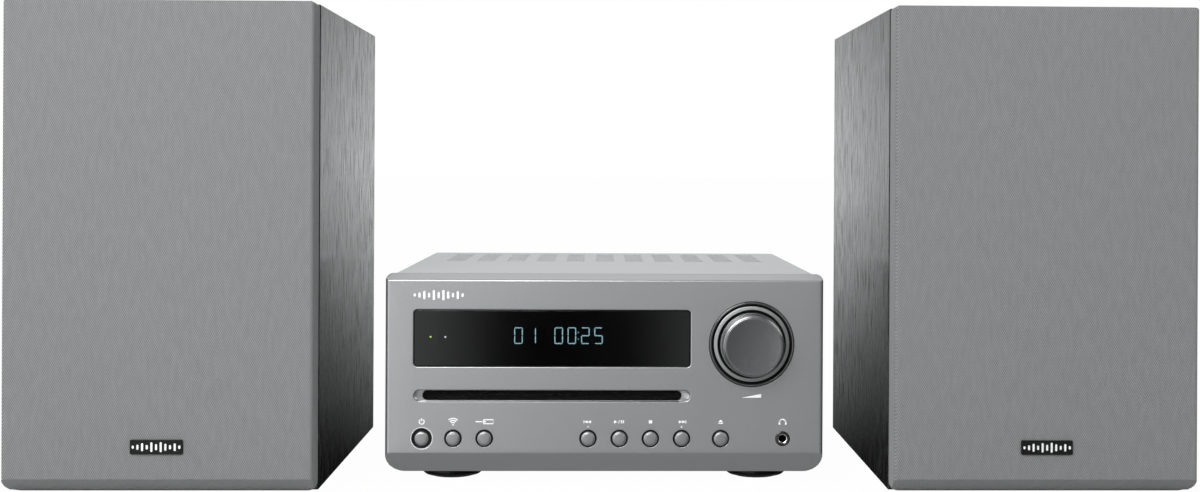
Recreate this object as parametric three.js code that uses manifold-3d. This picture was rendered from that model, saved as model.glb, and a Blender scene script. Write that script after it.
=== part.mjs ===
// A mini hi-fi system: a slot-loading CD receiver between two bookshelf loudspeakers.
//
// Units are millimetres. +X runs to the listener's right, +Y runs away from the listener, +Z is up.
// The origin is on the shelf, at the centre of the system's footprint.
import * as THREE from "three";
import { mergeVertices } from "three/addons/utils/BufferGeometryUtils.js";
import Module from "manifold-3d";

const wasm = await Module();
wasm.setup();

// ---------------------------------------------------------------- driving dimensions

const GAP = 0.2; // clearance between two pieces that meet
const JOIN = 0.1; // how far two features of one piece run into each other

// The receiver stands a little behind the fronts of the two cabinets. Its own frame has y = 0 at the
// flat face of the front panel.
const RECEIVER = { width: 210, depth: 222, top: 101.6, setBack: 7.8 };

const PANEL = {
  depth: 12,
  bottom: 5.6,
  chinZ: 16, // the chin slopes back below this height
  browZ: 99.1, // the top edge slopes back above this height
  browDepth: 8,
  wall: 3,
  lowCornerR: 8,
  highCornerR: 2.5,
  edgeR: 2,
};
const WINDOW = { x: -25.2, z: 71.1, width: 132.6, height: 27.3, cornerR: 1.8 };
const SLOT = { x: -25.2, z: 43.6, width: 124.2, height: 4.8, recessWidth: 132.5, recessHeight: 5.6 };
const KNOB = { x: 70.5, z: 68.5, reach: 13, faceR: 13.9, baseR: 15.3, seatR: 16.3, ringR: 20.3 };
const SHAFT_R = 3;

const BUTTON = { z: 23.2, capR: 3.35, holeR: 4.15, reach: 1.5, travel: 0.8 };
const BUTTON_PITCH = 14.95;
const LEFT_GROUP_X = -87.4; // the first of three buttons
const RIGHT_GROUP_X = -7.9; // the first of four
const BUTTONS = [
  { name: "power_button", x: LEFT_GROUP_X, holeR: 4.8 },
  { name: "wireless_button", x: LEFT_GROUP_X + BUTTON_PITCH },
  { name: "source_button", x: LEFT_GROUP_X + 2 * BUTTON_PITCH },
  { name: "previous_button", x: RIGHT_GROUP_X },
  { name: "play_button", x: RIGHT_GROUP_X + BUTTON_PITCH },
  { name: "stop_button", x: RIGHT_GROUP_X + 2 * BUTTON_PITCH },
  { name: "next_button", x: RIGHT_GROUP_X + 3 * BUTTON_PITCH },
  { name: "eject_button", x: 55.7 },
];
const PHONES = { x: 85.5, z: 23.2, flangeR: 3.6, bodyR: 3, plugR: 1.8 };

const SHEET = 1.2; // thickness of the cover's and the tray's steel
const COVER = { width: 206, cornerR: 3, front: PANEL.depth + 0.3 };
const VENT = { columns: 11, columnPitch: 16.3, rows: 9, rowPitch: 9, width: 10, length: 3.5, front: 126 };
const TRAY_Z = 9; // underside of the base tray
const FOOT = { r: 14.2, x: 75.4, frontY: 36.5, rearY: 190 };
const BOARD_Y = 13; // front face of the upright front board

// The disc deck. A disc lies between the slot and the rear of the deck, over the turntable.
const DISC_R = 60;
const DECK = { x: SLOT.x, spindleY: 80, halfWidth: 68, wall: 2, front: 16, rear: 146, plateZ: 28, top: 52 };
const ROLLER = { y: 24, z: 38, r: 3, pinR: 1.5 };
const SLED = { restX: DECK.x + 24, halfLength: 8, halfWidth: 18, z: 33.5, height: 4, rodR: 1.5, rodOffset: 14 };

// The loudspeakers. Their own frame has y = 0 at the front edges of the cabinet and x = 0 on its centre.
const SPEAKER = { x: 206.6, width: 143, height: 229.6, depth: 205.6, board: 12 };
const GRILLE = { depth: 19, chin: 8, cornerR: 2, lowCornerR: 4.5, rim: 13, cloth: 0.7, clothBack: -2.9, back: -0.4 };
const PEG = { x: 54, low: 22, high: 211, r: 3, length: 8, bossR: 7.5 };
const BADGE = { z: 23.2, width: 24.2, height: 6.7, thickness: 1.1 };
const WOOFER = { z: 86, flangeR: 58, coneR: 41, capR: 14, basketR: 46, magnetR: 35, depth: 62 };
const TWEETER = { z: 182.5, flangeR: 33, domeR: 12.5, magnetR: 24, depth: 24 };
const PORT = { z: 178, flangeR: 27, boreR: 17, wall: 2, length: 90 };
const CUP = { z: 72, width: 72, height: 52, wellWidth: 56, wellHeight: 36, wellDepth: 20 };
const LEVER = { x: 13, width: 13, height: 16, back: 1.2, reach: 9 };

// Round shapes' number of flats.
const FINE = 28;
const ROUND = 16;
const COARSE = 10;

// The system's middle, between the front of the grilles and the tips of the speaker sockets.
const SOCKET_REACH = 14; // how far the speaker sockets stand out behind the receiver
const SOCKET_TIP = RECEIVER.setBack + RECEIVER.depth + SOCKET_REACH;
const FOOTPRINT_FRONT = -GRILLE.depth - BADGE.thickness;
const MIDDLE_Y = (FOOTPRINT_FRONT + SOCKET_TIP) / 2;

// ---------------------------------------------------------------- materials

const finish = (color, roughness, metalness) => new THREE.MeshStandardMaterial({ color, roughness, metalness });
const MATERIAL = {
  panel: finish(0x8f9294, 0.42, 0.55),
  cover: finish(0x9a9c9c, 0.5, 0.35),
  smoked: finish(0x08090a, 0.05, 0),
  ring: finish(0x7d8080, 0.25, 0.9),
  knob: finish(0x6c6f6f, 0.3, 0.85),
  button: finish(0x85888a, 0.35, 0.6),
  black: finish(0x101111, 0.35, 0),
  rubber: finish(0x1a1a1a, 0.8, 0),
  steel: finish(0xb4b7b8, 0.4, 0.9),
  board: finish(0x1f5a36, 0.6, 0),
  alloy: finish(0xa9acae, 0.45, 0.9),
  copper: finish(0x7a4a22, 0.5, 0.4),
  veneer: finish(0x2e3030, 0.5, 0),
  fibreboard: finish(0x141414, 0.7, 0),
  felt: finish(0x0c0d0d, 1, 0),
  cloth: finish(0x8c8f90, 0.95, 0),
  paper: finish(0x1c1c1d, 0.85, 0),
  red: finish(0xa01818, 0.4, 0),
};

// ---------------------------------------------------------------- shape helpers

// A closed geometry as a manifold-3d solid.
function toSolid(geometry) {
  const bare = geometry.index ? geometry.toNonIndexed() : geometry.clone();
  bare.deleteAttribute("normal");
  bare.deleteAttribute("uv");
  const merged = mergeVertices(bare, 1e-4);
  const vertProperties = merged.getAttribute("position").array;
  const triVerts = new Uint32Array(merged.index.array);
  return new wasm.Manifold(new wasm.Mesh({ numProp: 3, vertProperties, triVerts }));
}

function toGeometry(solid) {
  const { vertProperties, triVerts } = solid.getMesh();
  const geometry = new THREE.BufferGeometry();
  geometry.setAttribute("position", new THREE.BufferAttribute(vertProperties, 3));
  geometry.setIndex(new THREE.BufferAttribute(triVerts, 1));
  geometry.computeVertexNormals();
  return geometry;
}

const join = (...geometries) => toGeometry(geometries.map(toSolid).reduce((a, b) => a.add(b)));
const common = (...geometries) => toGeometry(geometries.map(toSolid).reduce((a, b) => a.intersect(b)));
const cut = (body, ...tools) => toGeometry(tools.map(toSolid).reduce((a, b) => a.subtract(b), toSolid(body)));

// A box between two corners.
function block([x0, x1], [y0, y1], [z0, z1]) {
  const geometry = new THREE.BoxGeometry(x1 - x0, y1 - y0, z1 - z0);
  return geometry.translate((x0 + x1) / 2, (y0 + y1) / 2, (z0 + z1) / 2);
}

// A rectangle with rounded corners, with its own radius for the two lower and the two upper ones.
function roundedRect(x0, x1, y0, y1, lowR, highR = lowR) {
  const shape = new THREE.Shape();
  shape.moveTo(x0 + lowR, y0);
  shape.lineTo(x1 - lowR, y0);
  shape.absarc(x1 - lowR, y0 + lowR, lowR, -Math.PI / 2, 0);
  shape.lineTo(x1, y1 - highR);
  shape.absarc(x1 - highR, y1 - highR, highR, 0, Math.PI / 2);
  shape.lineTo(x0 + highR, y1);
  shape.absarc(x0 + highR, y1 - highR, highR, Math.PI / 2, Math.PI);
  shape.lineTo(x0, y0 + lowR);
  shape.absarc(x0 + lowR, y0 + lowR, lowR, Math.PI, Math.PI * 1.5);
  return shape;
}

const centredRect = (x, z, width, height, r) =>
  roundedRect(x - width / 2, x + width / 2, z - height / 2, z + height / 2, r);

const polygon = (points) => new THREE.Shape(points.map(([x, y]) => new THREE.Vector2(x, y)));

// An (x, z) outline pushed along Y, a (y, z) outline along X and an (x, y) outline along Z.
function alongY(shape, y0, y1, curveSegments = 4) {
  const geometry = new THREE.ExtrudeGeometry(shape, { depth: y1 - y0, bevelEnabled: false, curveSegments });
  return geometry.rotateX(Math.PI / 2).translate(0, y1, 0);
}

function alongX(shape, x0, x1, curveSegments = 4) {
  const geometry = new THREE.ExtrudeGeometry(shape, { depth: x1 - x0, bevelEnabled: false, curveSegments });
  const turn = new THREE.Matrix4().makeBasis(
    new THREE.Vector3(0, 1, 0),
    new THREE.Vector3(0, 0, 1),
    new THREE.Vector3(1, 0, 0),
  );
  return geometry.applyMatrix4(turn).translate(x0, 0, 0);
}

function alongZ(shape, z0, z1, curveSegments = 4) {
  const geometry = new THREE.ExtrudeGeometry(shape, { depth: z1 - z0, bevelEnabled: false, curveSegments });
  return geometry.translate(0, 0, z0);
}

// Round bars along each axis.
function rodY(x, z, r, y0, y1, flats = COARSE) {
  return new THREE.CylinderGeometry(r, r, y1 - y0, flats).translate(x, (y0 + y1) / 2, z);
}

function rodZ(x, y, r, z0, z1, flats = COARSE) {
  const rod = new THREE.CylinderGeometry(r, r, z1 - z0, flats).rotateX(Math.PI / 2);
  return rod.translate(x, y, (z0 + z1) / 2);
}

function rodX(y, z, r, x0, x1, flats = COARSE) {
  const rod = new THREE.CylinderGeometry(r, r, x1 - x0, flats).rotateZ(Math.PI / 2);
  return rod.translate((x0 + x1) / 2, y, z);
}

// A body turned about the Y axis from [radius, y] points. The list may run either way round.
function turned(points, flats = ROUND) {
  const area = THREE.ShapeUtils.area(points.map(([r, y]) => new THREE.Vector2(r, y)));
  const ordered = area < 0 ? [...points].reverse() : points;
  const onAxis = ordered.some(([r]) => r === 0);
  // A profile that touches the axis starts and ends there; any other one closes on itself.
  const start = ordered.findIndex(([r], i) => r === 0 && ordered.at(i - 1)[0] === 0);
  const loop = onAxis
    ? [...ordered.slice(start), ...ordered.slice(0, start)]
    : [...ordered, ordered[0]];
  return new THREE.LatheGeometry(loop.map(([r, y]) => new THREE.Vector2(r, y)), flats);
}

const upright = (geometry) => geometry.rotateX(Math.PI / 2); // turns a body's Y axis to Z

// Points on a dome or arc in [radius, y] form, from angle a to angle b about a centre.
function arcPoints(centreR, centreY, r, a, b, steps) {
  return Array.from({ length: steps + 1 }, (_, i) => {
    const angle = a + ((b - a) * i) / steps;
    return [centreR + r * Math.cos(angle), centreY + r * Math.sin(angle)];
  });
}

function add(group, name, geometry, material, position = [0, 0, 0]) {
  const mesh = new THREE.Mesh(geometry, material);
  mesh.name = name;
  mesh.position.set(...position);
  group.add(mesh);
}

// ---------------------------------------------------------------- receiver: front

function frontPanel() {
  const half = RECEIVER.width / 2;
  const side = polygon([
    [0, PANEL.chinZ],
    [0, PANEL.browZ],
    [PANEL.browDepth, RECEIVER.top],
    [PANEL.depth, RECEIVER.top],
    [PANEL.depth, PANEL.bottom],
  ]);
  const front = roundedRect(-half, half, PANEL.bottom, RECEIVER.top, PANEL.lowCornerR, PANEL.highCornerR);
  const plan = roundedRect(-half, half, 0, PANEL.depth + PANEL.edgeR, PANEL.edgeR);
  const blank = common(
    alongX(side, -half, half),
    alongY(front, 0, PANEL.depth),
    alongZ(plan, PANEL.bottom, RECEIVER.top),
  );

  const insideHalf = half - PANEL.wall;
  const inside = polygon([
    [PANEL.wall, PANEL.chinZ + 1.2],
    [PANEL.wall, PANEL.browZ - 1.4],
    [PANEL.depth + 1, RECEIVER.top - 2.2],
    [PANEL.depth + 1, PANEL.bottom + 4],
    [PANEL.depth, PANEL.bottom + 4],
  ]);
  const recess = centredRect(SLOT.x, SLOT.z, SLOT.recessWidth, SLOT.recessHeight, SLOT.recessHeight / 2);
  const slot = centredRect(SLOT.x, SLOT.z, SLOT.width, SLOT.height, SLOT.height / 2);
  const through = [-1, PANEL.wall + 1];
  return cut(
    blank,
    alongX(inside, -insideHalf, insideHalf),
    alongY(centredRect(WINDOW.x, WINDOW.z, WINDOW.width, WINDOW.height, WINDOW.cornerR), ...through, 4),
    alongY(recess, -1, PANEL.wall - 1),
    alongY(slot, ...through),
    rodY(KNOB.x, KNOB.z, KNOB.ringR + GAP, ...through, FINE),
    rodY(PHONES.x, PHONES.z, PHONES.bodyR + GAP, ...through),
    ...BUTTONS.map(({ x, holeR = BUTTON.holeR }) => rodY(x, BUTTON.z, holeR, ...through)),
  );
}

// A smoked pane whose flange sits behind the panel.
function displayWindow() {
  const { x, z, width, height, cornerR } = WINDOW;
  const flangeFront = PANEL.wall + GAP;
  return join(
    alongY(centredRect(x, z, width - 0.7, height - 0.7, cornerR - 0.3), 0.5, flangeFront + JOIN, 4),
    alongY(centredRect(x, z, width + 5, height + 5, cornerR), flangeFront, flangeFront + 1.4, 2),
  );
}

// A fluorescent display: a glass envelope on a holder that stands on the front board.
function displayModule() {
  const [halfWidth, halfHeight] = [52, 10.5];
  const glass = block(
    [WINDOW.x - halfWidth, WINDOW.x + halfWidth],
    [6, 10.5],
    [WINDOW.z - halfHeight, WINDOW.z + halfHeight],
  );
  const holder = block(
    [WINDOW.x - halfWidth - 2, WINDOW.x + halfWidth + 2],
    [10.5 - JOIN, BOARD_Y - GAP],
    [WINDOW.z - halfHeight - 1, WINDOW.z + halfHeight + 1],
  );
  return join(glass, holder);
}

// The felt that keeps dust out, slit along its middle for the disc.
function slotFelt() {
  const front = PANEL.wall + GAP;
  const slit = block([SLOT.x - DISC_R, SLOT.x + DISC_R], [0, 10], [SLOT.z - 0.3, SLOT.z + 0.3]);
  return cut(alongY(centredRect(SLOT.x, SLOT.z, SLOT.width + 6, 11, 1), front, front + 1.2, 2), slit);
}

function volumeRing() {
  const back = PANEL.wall + 1.4;
  return turned(
    [
      [KNOB.ringR, 0],
      [KNOB.ringR - 1.4, 1.6],
      [KNOB.ringR - 1.4, 2.4],
      [KNOB.ringR - 1.7, 2.4],
      [KNOB.ringR - 1.7, 0.2],
      [KNOB.seatR, 0.2],
      [KNOB.seatR, back],
      [KNOB.ringR + 2.2, back],
      [KNOB.ringR + 2.2, PANEL.wall + GAP],
      [KNOB.ringR, PANEL.wall + GAP],
    ],
    FINE,
  );
}

function volumeKnob() {
  const boreR = SHAFT_R + 0.15;
  return turned(
    [
      [0, -KNOB.reach + 0.4],
      [KNOB.faceR - 1, -KNOB.reach + 0.1],
      [KNOB.faceR - 0.5, -KNOB.reach],
      [KNOB.faceR, -KNOB.reach + 0.3],
      [KNOB.faceR + 0.8, -KNOB.reach + 1.8],
      [KNOB.baseR, -2],
      [KNOB.baseR, 1.5],
      [boreR, 1.5],
      [boreR, -KNOB.reach + 4],
      [0, -KNOB.reach + 4],
    ],
    FINE,
  );
}

const volumeShaft = () => rodY(0, 0, SHAFT_R, -KNOB.reach + 4.5, 12.5);

// A push cap: a domed face, a flange that stops it against the panel and a stem to its switch.
function buttonCap() {
  const flangeFront = PANEL.wall + GAP;
  const stemEnd = 10.4;
  return turned(
    [
      [0, -BUTTON.reach],
      [BUTTON.capR - 0.7, -BUTTON.reach],
      [BUTTON.capR, -BUTTON.reach + 0.7],
      [BUTTON.capR, flangeFront],
      [BUTTON.capR + 2.1, flangeFront],
      [BUTTON.capR + 2.1, flangeFront + 1],
      [1.6, flangeFront + 1],
      [1.6, stemEnd],
      [0, stemEnd],
    ],
    ROUND,
  );
}

function phonesJack() {
  return turned(
    [
      [PHONES.plugR, -0.4],
      [PHONES.flangeR - 0.4, -0.4],
      [PHONES.flangeR, -GAP],
      [PHONES.bodyR, -GAP],
      [PHONES.bodyR, PANEL.wall + 0.6],
      [PHONES.bodyR + 1.2, PANEL.wall + 0.6],
      [PHONES.bodyR + 1.2, BOARD_Y - GAP],
      [0, BOARD_Y - GAP],
      [0, 11],
      [PHONES.plugR, 11],
    ],
    COARSE,
  );
}

// The upright board behind the panel. It leaves the disc's path free, and carries a push switch
// behind each cap and the can of the volume encoder.
function frontBoard() {
  const thickness = [BOARD_Y, BOARD_Y + 1.6];
  const onBoard = BOARD_Y + JOIN;
  const canHalf = 7;
  const switches = BUTTONS.flatMap(({ x }) => [
    block([x - 3, x + 3], [11.9, onBoard], [BUTTON.z - 3, BUTTON.z + 3]),
    rodY(x, BUTTON.z, 1.5, 10.4 + BUTTON.travel + 0.1, 11.9 + JOIN),
  ]);
  const can = block([KNOB.x - canHalf, KNOB.x + canHalf], [7, onBoard], [KNOB.z - canHalf, KNOB.z + canHalf]);
  const board = join(
    block([-98, 98], thickness, [12, 34]),
    block([52, 98], thickness, [34 - JOIN, 95]),
    block([-80, 98], thickness, [58, 95]),
    can,
    ...switches,
  );
  return cut(board, rodY(KNOB.x, KNOB.z, SHAFT_R + 0.4, 6, BOARD_Y + 0.2));
}

// ---------------------------------------------------------------- receiver: casing

// A folded steel cover, open at the front, back and bottom, with slots over the warm parts.
function topCover() {
  const half = COVER.width / 2;
  const [z0, z1] = [TRAY_Z, RECEIVER.top];
  const outside = roundedRect(-half, half, z0 - 10, z1, 1, COVER.cornerR);
  const inside = roundedRect(-half + SHEET, half - SHEET, z0 - 20, z1 - SHEET, 1, COVER.cornerR - SHEET);
  const shell = cut(
    alongY(outside, COVER.front, RECEIVER.depth, 4),
    alongY(inside, COVER.front - 1, RECEIVER.depth + 1, 4),
    block([-200, 200], [0, 400], [z0 - 50, z0]),
  );
  const slots = [];
  for (let column = 0; column < VENT.columns; column++) {
    const x = (column - (VENT.columns - 1) / 2) * VENT.columnPitch;
    for (let row = 0; row < VENT.rows; row++) {
      const y = VENT.front + row * VENT.rowPitch;
      slots.push(block([x - VENT.width / 2, x + VENT.width / 2], [y, y + VENT.length], [z1 - 5, z1 + 5]));
    }
  }
  return cut(shell, ...slots);
}

// A shallow steel pan with upturned sides.
function baseTray() {
  const half = COVER.width / 2 - SHEET - 0.6;
  const [y0, y1] = [COVER.front + 0.3, RECEIVER.depth - 3];
  return cut(
    block([-half, half], [y0, y1], [TRAY_Z, TRAY_Z + 13]),
    block([-half + SHEET, half - SHEET], [y0 - 1, y1 + 1], [TRAY_Z + SHEET, 40]),
  );
}

const REAR_CUTOUTS = {
  sockets: { x: [30, 80], z: [25, 49] },
  jacks: { x: [-20, 20], z: [28, 52] },
  mains: { x: [-90, -66], z: [24, 38] },
};

function rearPanel() {
  const half = COVER.width / 2 - SHEET - 0.6;
  const y = [RECEIVER.depth - 2.4, RECEIVER.depth - 0.8];
  const plate = block([-half, half], y, [TRAY_Z + SHEET + 0.4, RECEIVER.top - SHEET - 0.6]);
  return cut(plate, ...Object.values(REAR_CUTOUTS).map((hole) => block(hole.x, [0, 400], hole.z)));
}

// A moulding that fills a rear cut-out, with a flange on the outside. Returns its blocks.
function rearMoulding({ x, z }, bodyDepth) {
  const back = RECEIVER.depth - 0.6;
  const shrink = ([low, high], by) => [low + by, high - by];
  return [
    block(shrink(x, 0.4), [back - bodyDepth, back + JOIN], shrink(z, 0.4)),
    block(shrink(x, -2), [back, back + 1.6], shrink(z, -2)),
  ];
}

function speakerSockets() {
  const { x, z } = REAR_CUTOUTS.sockets;
  const middle = (z[0] + z[1]) / 2;
  const xs = [0, 1, 2, 3].map((i) => x[0] + 7 + (i * (x[1] - x[0] - 14)) / 3);
  const face = RECEIVER.depth + 0.9;
  const tip = RECEIVER.depth + SOCKET_REACH;
  const posts = xs.map((px) => rodY(px, middle, 5, face, tip, COARSE));
  const holes = xs.map((px) => rodY(px, middle, 2, tip - 10, tip + 1));
  return cut(join(...rearMoulding(REAR_CUTOUTS.sockets, 10), ...posts), ...holes);
}

// Two phono sockets, an optical socket and an aerial socket in one moulding.
function jackBlock() {
  const face = RECEIVER.depth + 0.9;
  const [low, high] = [34, 46];
  const body = join(
    ...rearMoulding(REAR_CUTOUTS.jacks, 14),
    rodY(-12, low, 4.2, face, face + 8),
    rodY(-12, high, 4.2, face, face + 8),
    rodY(12, high, 4.8, face, face + 9),
    block([7, 17], [face, face + 1.5], [low - 5, low + 5]),
  );
  return cut(
    body,
    rodY(-12, low, 1.8, face - 6, face + 10),
    rodY(-12, high, 1.8, face - 6, face + 10),
    rodY(12, high, 1.5, face - 6, face + 10),
    block([9, 15], [face - 6, face + 3], [low - 3, low + 3]),
  );
}

// A two-pole mains socket, shaped like a figure of eight.
function mainsInlet() {
  const { x, z } = REAR_CUTOUTS.mains;
  const middle = [(x[0] + x[1]) / 2, (z[0] + z[1]) / 2];
  const face = RECEIVER.depth + 1;
  const wells = [-4.2, 4.2].map((dx) => rodY(middle[0] + dx, middle[1], 4.4, face - 9, face + 1));
  return cut(join(...rearMoulding(REAR_CUTOUTS.mains, 12)), ...wells);
}

function foot() {
  const r = FOOT.r;
  return upright(
    turned([
      [0, 0],
      [r - 4, 0],
      [r - 3, 0.8],
      [r - 0.8, 1.4],
      [r, 3],
      [r, TRAY_Z - GAP],
      [0, TRAY_Z - GAP],
    ]),
  );
}

// ---------------------------------------------------------------- receiver: inside

function mainBoard() {
  const [z0, z1] = [15, 16.6];
  const standoffs = [-40, 90].flatMap((x) =>
    [155, 205].map((y) => rodZ(x, y, 3, TRAY_Z + SHEET + GAP, z0 + JOIN)),
  );
  const capacitors = [165, 188].map((y) => rodZ(-28, y, 8, z1 - JOIN, z1 + 28));
  const packages = [
    block([-10, 4], [160, 174], [z1 - JOIN, z1 + 2]),
    block([12, 32], [156, 164], [z1 - JOIN, z1 + 10]),
    block([-10, 20], [186, 192], [z1 - JOIN, z1 + 6]),
  ];
  return join(block([-45, 95], [150, 214], [z0, z1]), ...standoffs, ...capacitors, ...packages);
}

// An extruded comb of fins that stands on the main board behind the amplifier.
function heatSink() {
  const [x0, x1] = [40, 88];
  const comb = new THREE.Shape();
  const [back, root, tip] = [182, 179, 166];
  const fins = 8;
  const pitch = (x1 - x0) / fins;
  comb.moveTo(x0, back);
  for (let i = 0; i < fins; i++) {
    const x = x0 + i * pitch;
    comb.lineTo(x, tip);
    comb.lineTo(x + 1.8, tip);
    comb.lineTo(x + 1.8, root);
    comb.lineTo(x + pitch, root);
  }
  comb.lineTo(x1, back);
  return alongZ(comb, 17, 60);
}

function transformer() {
  const [x, y] = [-72, 176];
  const bottom = TRAY_Z + SHEET + GAP;
  return join(
    block([x - 21, x + 21], [y - 11, y + 11], [bottom, bottom + 36]),
    block([x - 14, x + 14], [y - 19, y + 19], [bottom + 6, bottom + 30]),
    block([x - 26, x + 26], [y - 6, y + 6], [bottom, bottom + 1.5]),
  );
}

// An open-topped tray on four legs. It holds the spindle motor, the rods that the pickup slides on
// and the bearings of the loading roller.
function deckFrame() {
  const { x, halfWidth, wall, front, rear, plateZ, top } = DECK;
  const floor = plateZ + 2;
  const [left, right] = [x - halfWidth, x + halfWidth];
  const tub = cut(
    block([left, right], [front, rear], [plateZ, top]),
    block([left + wall, right - wall], [front + wall, rear - wall], [floor, top + 1]),
    block([left + wall, right - wall], [front - 1, front + wall + 1], [ROLLER.z - 4, top + 1]),
  );
  const legs = [left + 6, right - 6].flatMap((lx) =>
    [front + 8, rear - 8].map((ly) => rodZ(lx, ly, 4, TRAY_Z + SHEET + GAP, plateZ + JOIN)),
  );
  const rodY0 = DECK.spindleY - SLED.rodOffset;
  const rodY1 = DECK.spindleY + SLED.rodOffset;
  const rodZ0 = SLED.z + SLED.height / 2;
  const rodStart = SLED.restX - SLED.halfLength - 3;
  const rods = [rodY0, rodY1].flatMap((y) => [
    rodX(y, rodZ0, SLED.rodR, rodStart, right - wall + JOIN),
    block([rodStart - 2, rodStart + 1], [y - 2.5, y + 2.5], [floor - JOIN, rodZ0 + 2.5]),
  ]);
  const motor = rodZ(x, DECK.spindleY, 12, plateZ - 5, floor + 2, ROUND);
  const sledWindow = block(
    [SLED.restX - SLED.halfLength + 2, right - wall - 3],
    [DECK.spindleY - 9, DECK.spindleY + 9],
    [plateZ - 1, floor + 1],
  );
  const bearings = rodX(ROLLER.y, ROLLER.z, ROLLER.pinR + 0.3, left - 1, right + 1);
  const shaftHole = rodZ(x, DECK.spindleY, 1.8, plateZ + 1, floor + 3);
  return cut(join(tub, ...legs, ...rods, motor), sledWindow, bearings, shaftHole);
}

// The platter, its centring hub and the motor's shaft.
function turntable() {
  return upright(
    turned(
      [
        [0, 29.5],
        [1.5, 29.5],
        [1.5, 36],
        [15, 36],
        [15, 37.6],
        [7.3, 37.6],
        [7.3, 39.6],
        [5.5, 40.6],
        [0, 40.6],
      ],
      ROUND,
    ),
  );
}

function pickupSled() {
  const { halfLength, halfWidth, z, height, rodR, rodOffset } = SLED;
  const body = join(
    block([-halfLength, halfLength], [-halfWidth, halfWidth], [z, z + height]),
    rodZ(0, 0, 3.5, z + height - JOIN, z + height + 1.6, COARSE),
  );
  const rods = [-rodOffset, rodOffset].map((y) =>
    rodX(y, z + height / 2, rodR + 0.3, -halfLength - 1, halfLength + 1),
  );
  return cut(body, ...rods);
}

// A rubber roller, waisted so that it holds a disc by its edges.
function loadingRoller() {
  const { r, pinR } = ROLLER;
  const length = DISC_R + 1;
  const pinTip = DECK.halfWidth - 0.5;
  const half = [
    [pinR, length],
    [r, length],
    [r - 0.6, length / 2],
    [r - 0.8, 0],
  ];
  const mirrored = half.slice(0, -1).reverse().map(([radius, y]) => [radius, -y]);
  const profile = [[0, pinTip], [pinR, pinTip], ...half, ...mirrored, [pinR, -pinTip], [0, -pinTip]];
  return turned(profile, COARSE).rotateZ(-Math.PI / 2);
}

function makeReceiver() {
  const group = new THREE.Group();
  const knobPlace = [KNOB.x, 0, KNOB.z];
  add(group, "front_panel", frontPanel(), MATERIAL.panel);
  add(group, "display_window", displayWindow(), MATERIAL.smoked);
  add(group, "display_module", displayModule(), MATERIAL.black);
  add(group, "slot_felt", slotFelt(), MATERIAL.felt);
  add(group, "volume_ring", volumeRing(), MATERIAL.ring, knobPlace);
  add(group, "volume_knob", volumeKnob(), MATERIAL.knob, knobPlace);
  add(group, "volume_shaft", volumeShaft(), MATERIAL.steel, knobPlace);
  for (const { name, x } of BUTTONS) {
    add(group, name, buttonCap(), MATERIAL.button, [x, 0, BUTTON.z]);
  }
  add(group, "phones_jack", phonesJack(), MATERIAL.black, [PHONES.x, 0, PHONES.z]);
  add(group, "front_board", frontBoard(), MATERIAL.board);
  add(group, "top_cover", topCover(), MATERIAL.cover);
  add(group, "base_tray", baseTray(), MATERIAL.steel);
  add(group, "rear_panel", rearPanel(), MATERIAL.cover);
  add(group, "speaker_sockets", speakerSockets(), MATERIAL.black);
  add(group, "jack_block", jackBlock(), MATERIAL.black);
  add(group, "mains_inlet", mainsInlet(), MATERIAL.black);
  add(group, "front_left_foot", foot(), MATERIAL.black, [-FOOT.x, FOOT.frontY, 0]);
  add(group, "front_right_foot", foot(), MATERIAL.black, [FOOT.x, FOOT.frontY, 0]);
  add(group, "rear_left_foot", foot(), MATERIAL.black, [-FOOT.x, FOOT.rearY, 0]);
  add(group, "rear_right_foot", foot(), MATERIAL.black, [FOOT.x, FOOT.rearY, 0]);
  add(group, "main_board", mainBoard(), MATERIAL.board);
  add(group, "heat_sink", heatSink(), MATERIAL.alloy);
  add(group, "transformer", transformer(), MATERIAL.copper);
  add(group, "deck_frame", deckFrame(), MATERIAL.steel);
  add(group, "turntable", turntable(), MATERIAL.black, [DECK.x, DECK.spindleY, 0]);
  add(group, "pickup_sled", pickupSled(), MATERIAL.black, [SLED.restX, DECK.spindleY, 0]);
  add(group, "loading_roller", loadingRoller(), MATERIAL.rubber, [DECK.x, ROLLER.y, ROLLER.z]);
  return group;
}

// ---------------------------------------------------------------- loudspeaker

function cabinet() {
  const { width, height, depth, board } = SPEAKER;
  const half = width / 2;
  return cut(
    block([-half, half], [0, depth], [0, height]),
    block([-half + board, half - board], [-1, depth - board], [board, height - board]),
    rodY(0, PORT.z, PORT.boreR + PORT.wall + GAP, depth - board - 1, depth + 1, ROUND),
    block(
      [-CUP.wellWidth / 2 - 2, CUP.wellWidth / 2 + 2],
      [depth - board - 1, depth + 1],
      [CUP.z - CUP.wellHeight / 2 - 2, CUP.z + CUP.wellHeight / 2 + 2],
    ),
  );
}

const pegPlaces = () => [-PEG.x, PEG.x].flatMap((x) => [PEG.low, PEG.high].map((z) => [x, z]));

// The board that carries the drivers, let in flush with the cabinet's edges.
function baffle() {
  const { width, height, board } = SPEAKER;
  const half = width / 2 - board - 0.3;
  const plate = block([-half, half], [GAP, board], [board + 0.3, height - board - 0.3]);
  return cut(
    plate,
    rodY(0, WOOFER.z, WOOFER.basketR + 0.6, -1, board + 1, ROUND),
    rodY(0, TWEETER.z, TWEETER.magnetR + 0.6, -1, board + 1, ROUND),
    ...pegPlaces().map(([x, z]) => rodY(x, z, PEG.r + 0.3, -1, PEG.length + 1)),
  );
}

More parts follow.
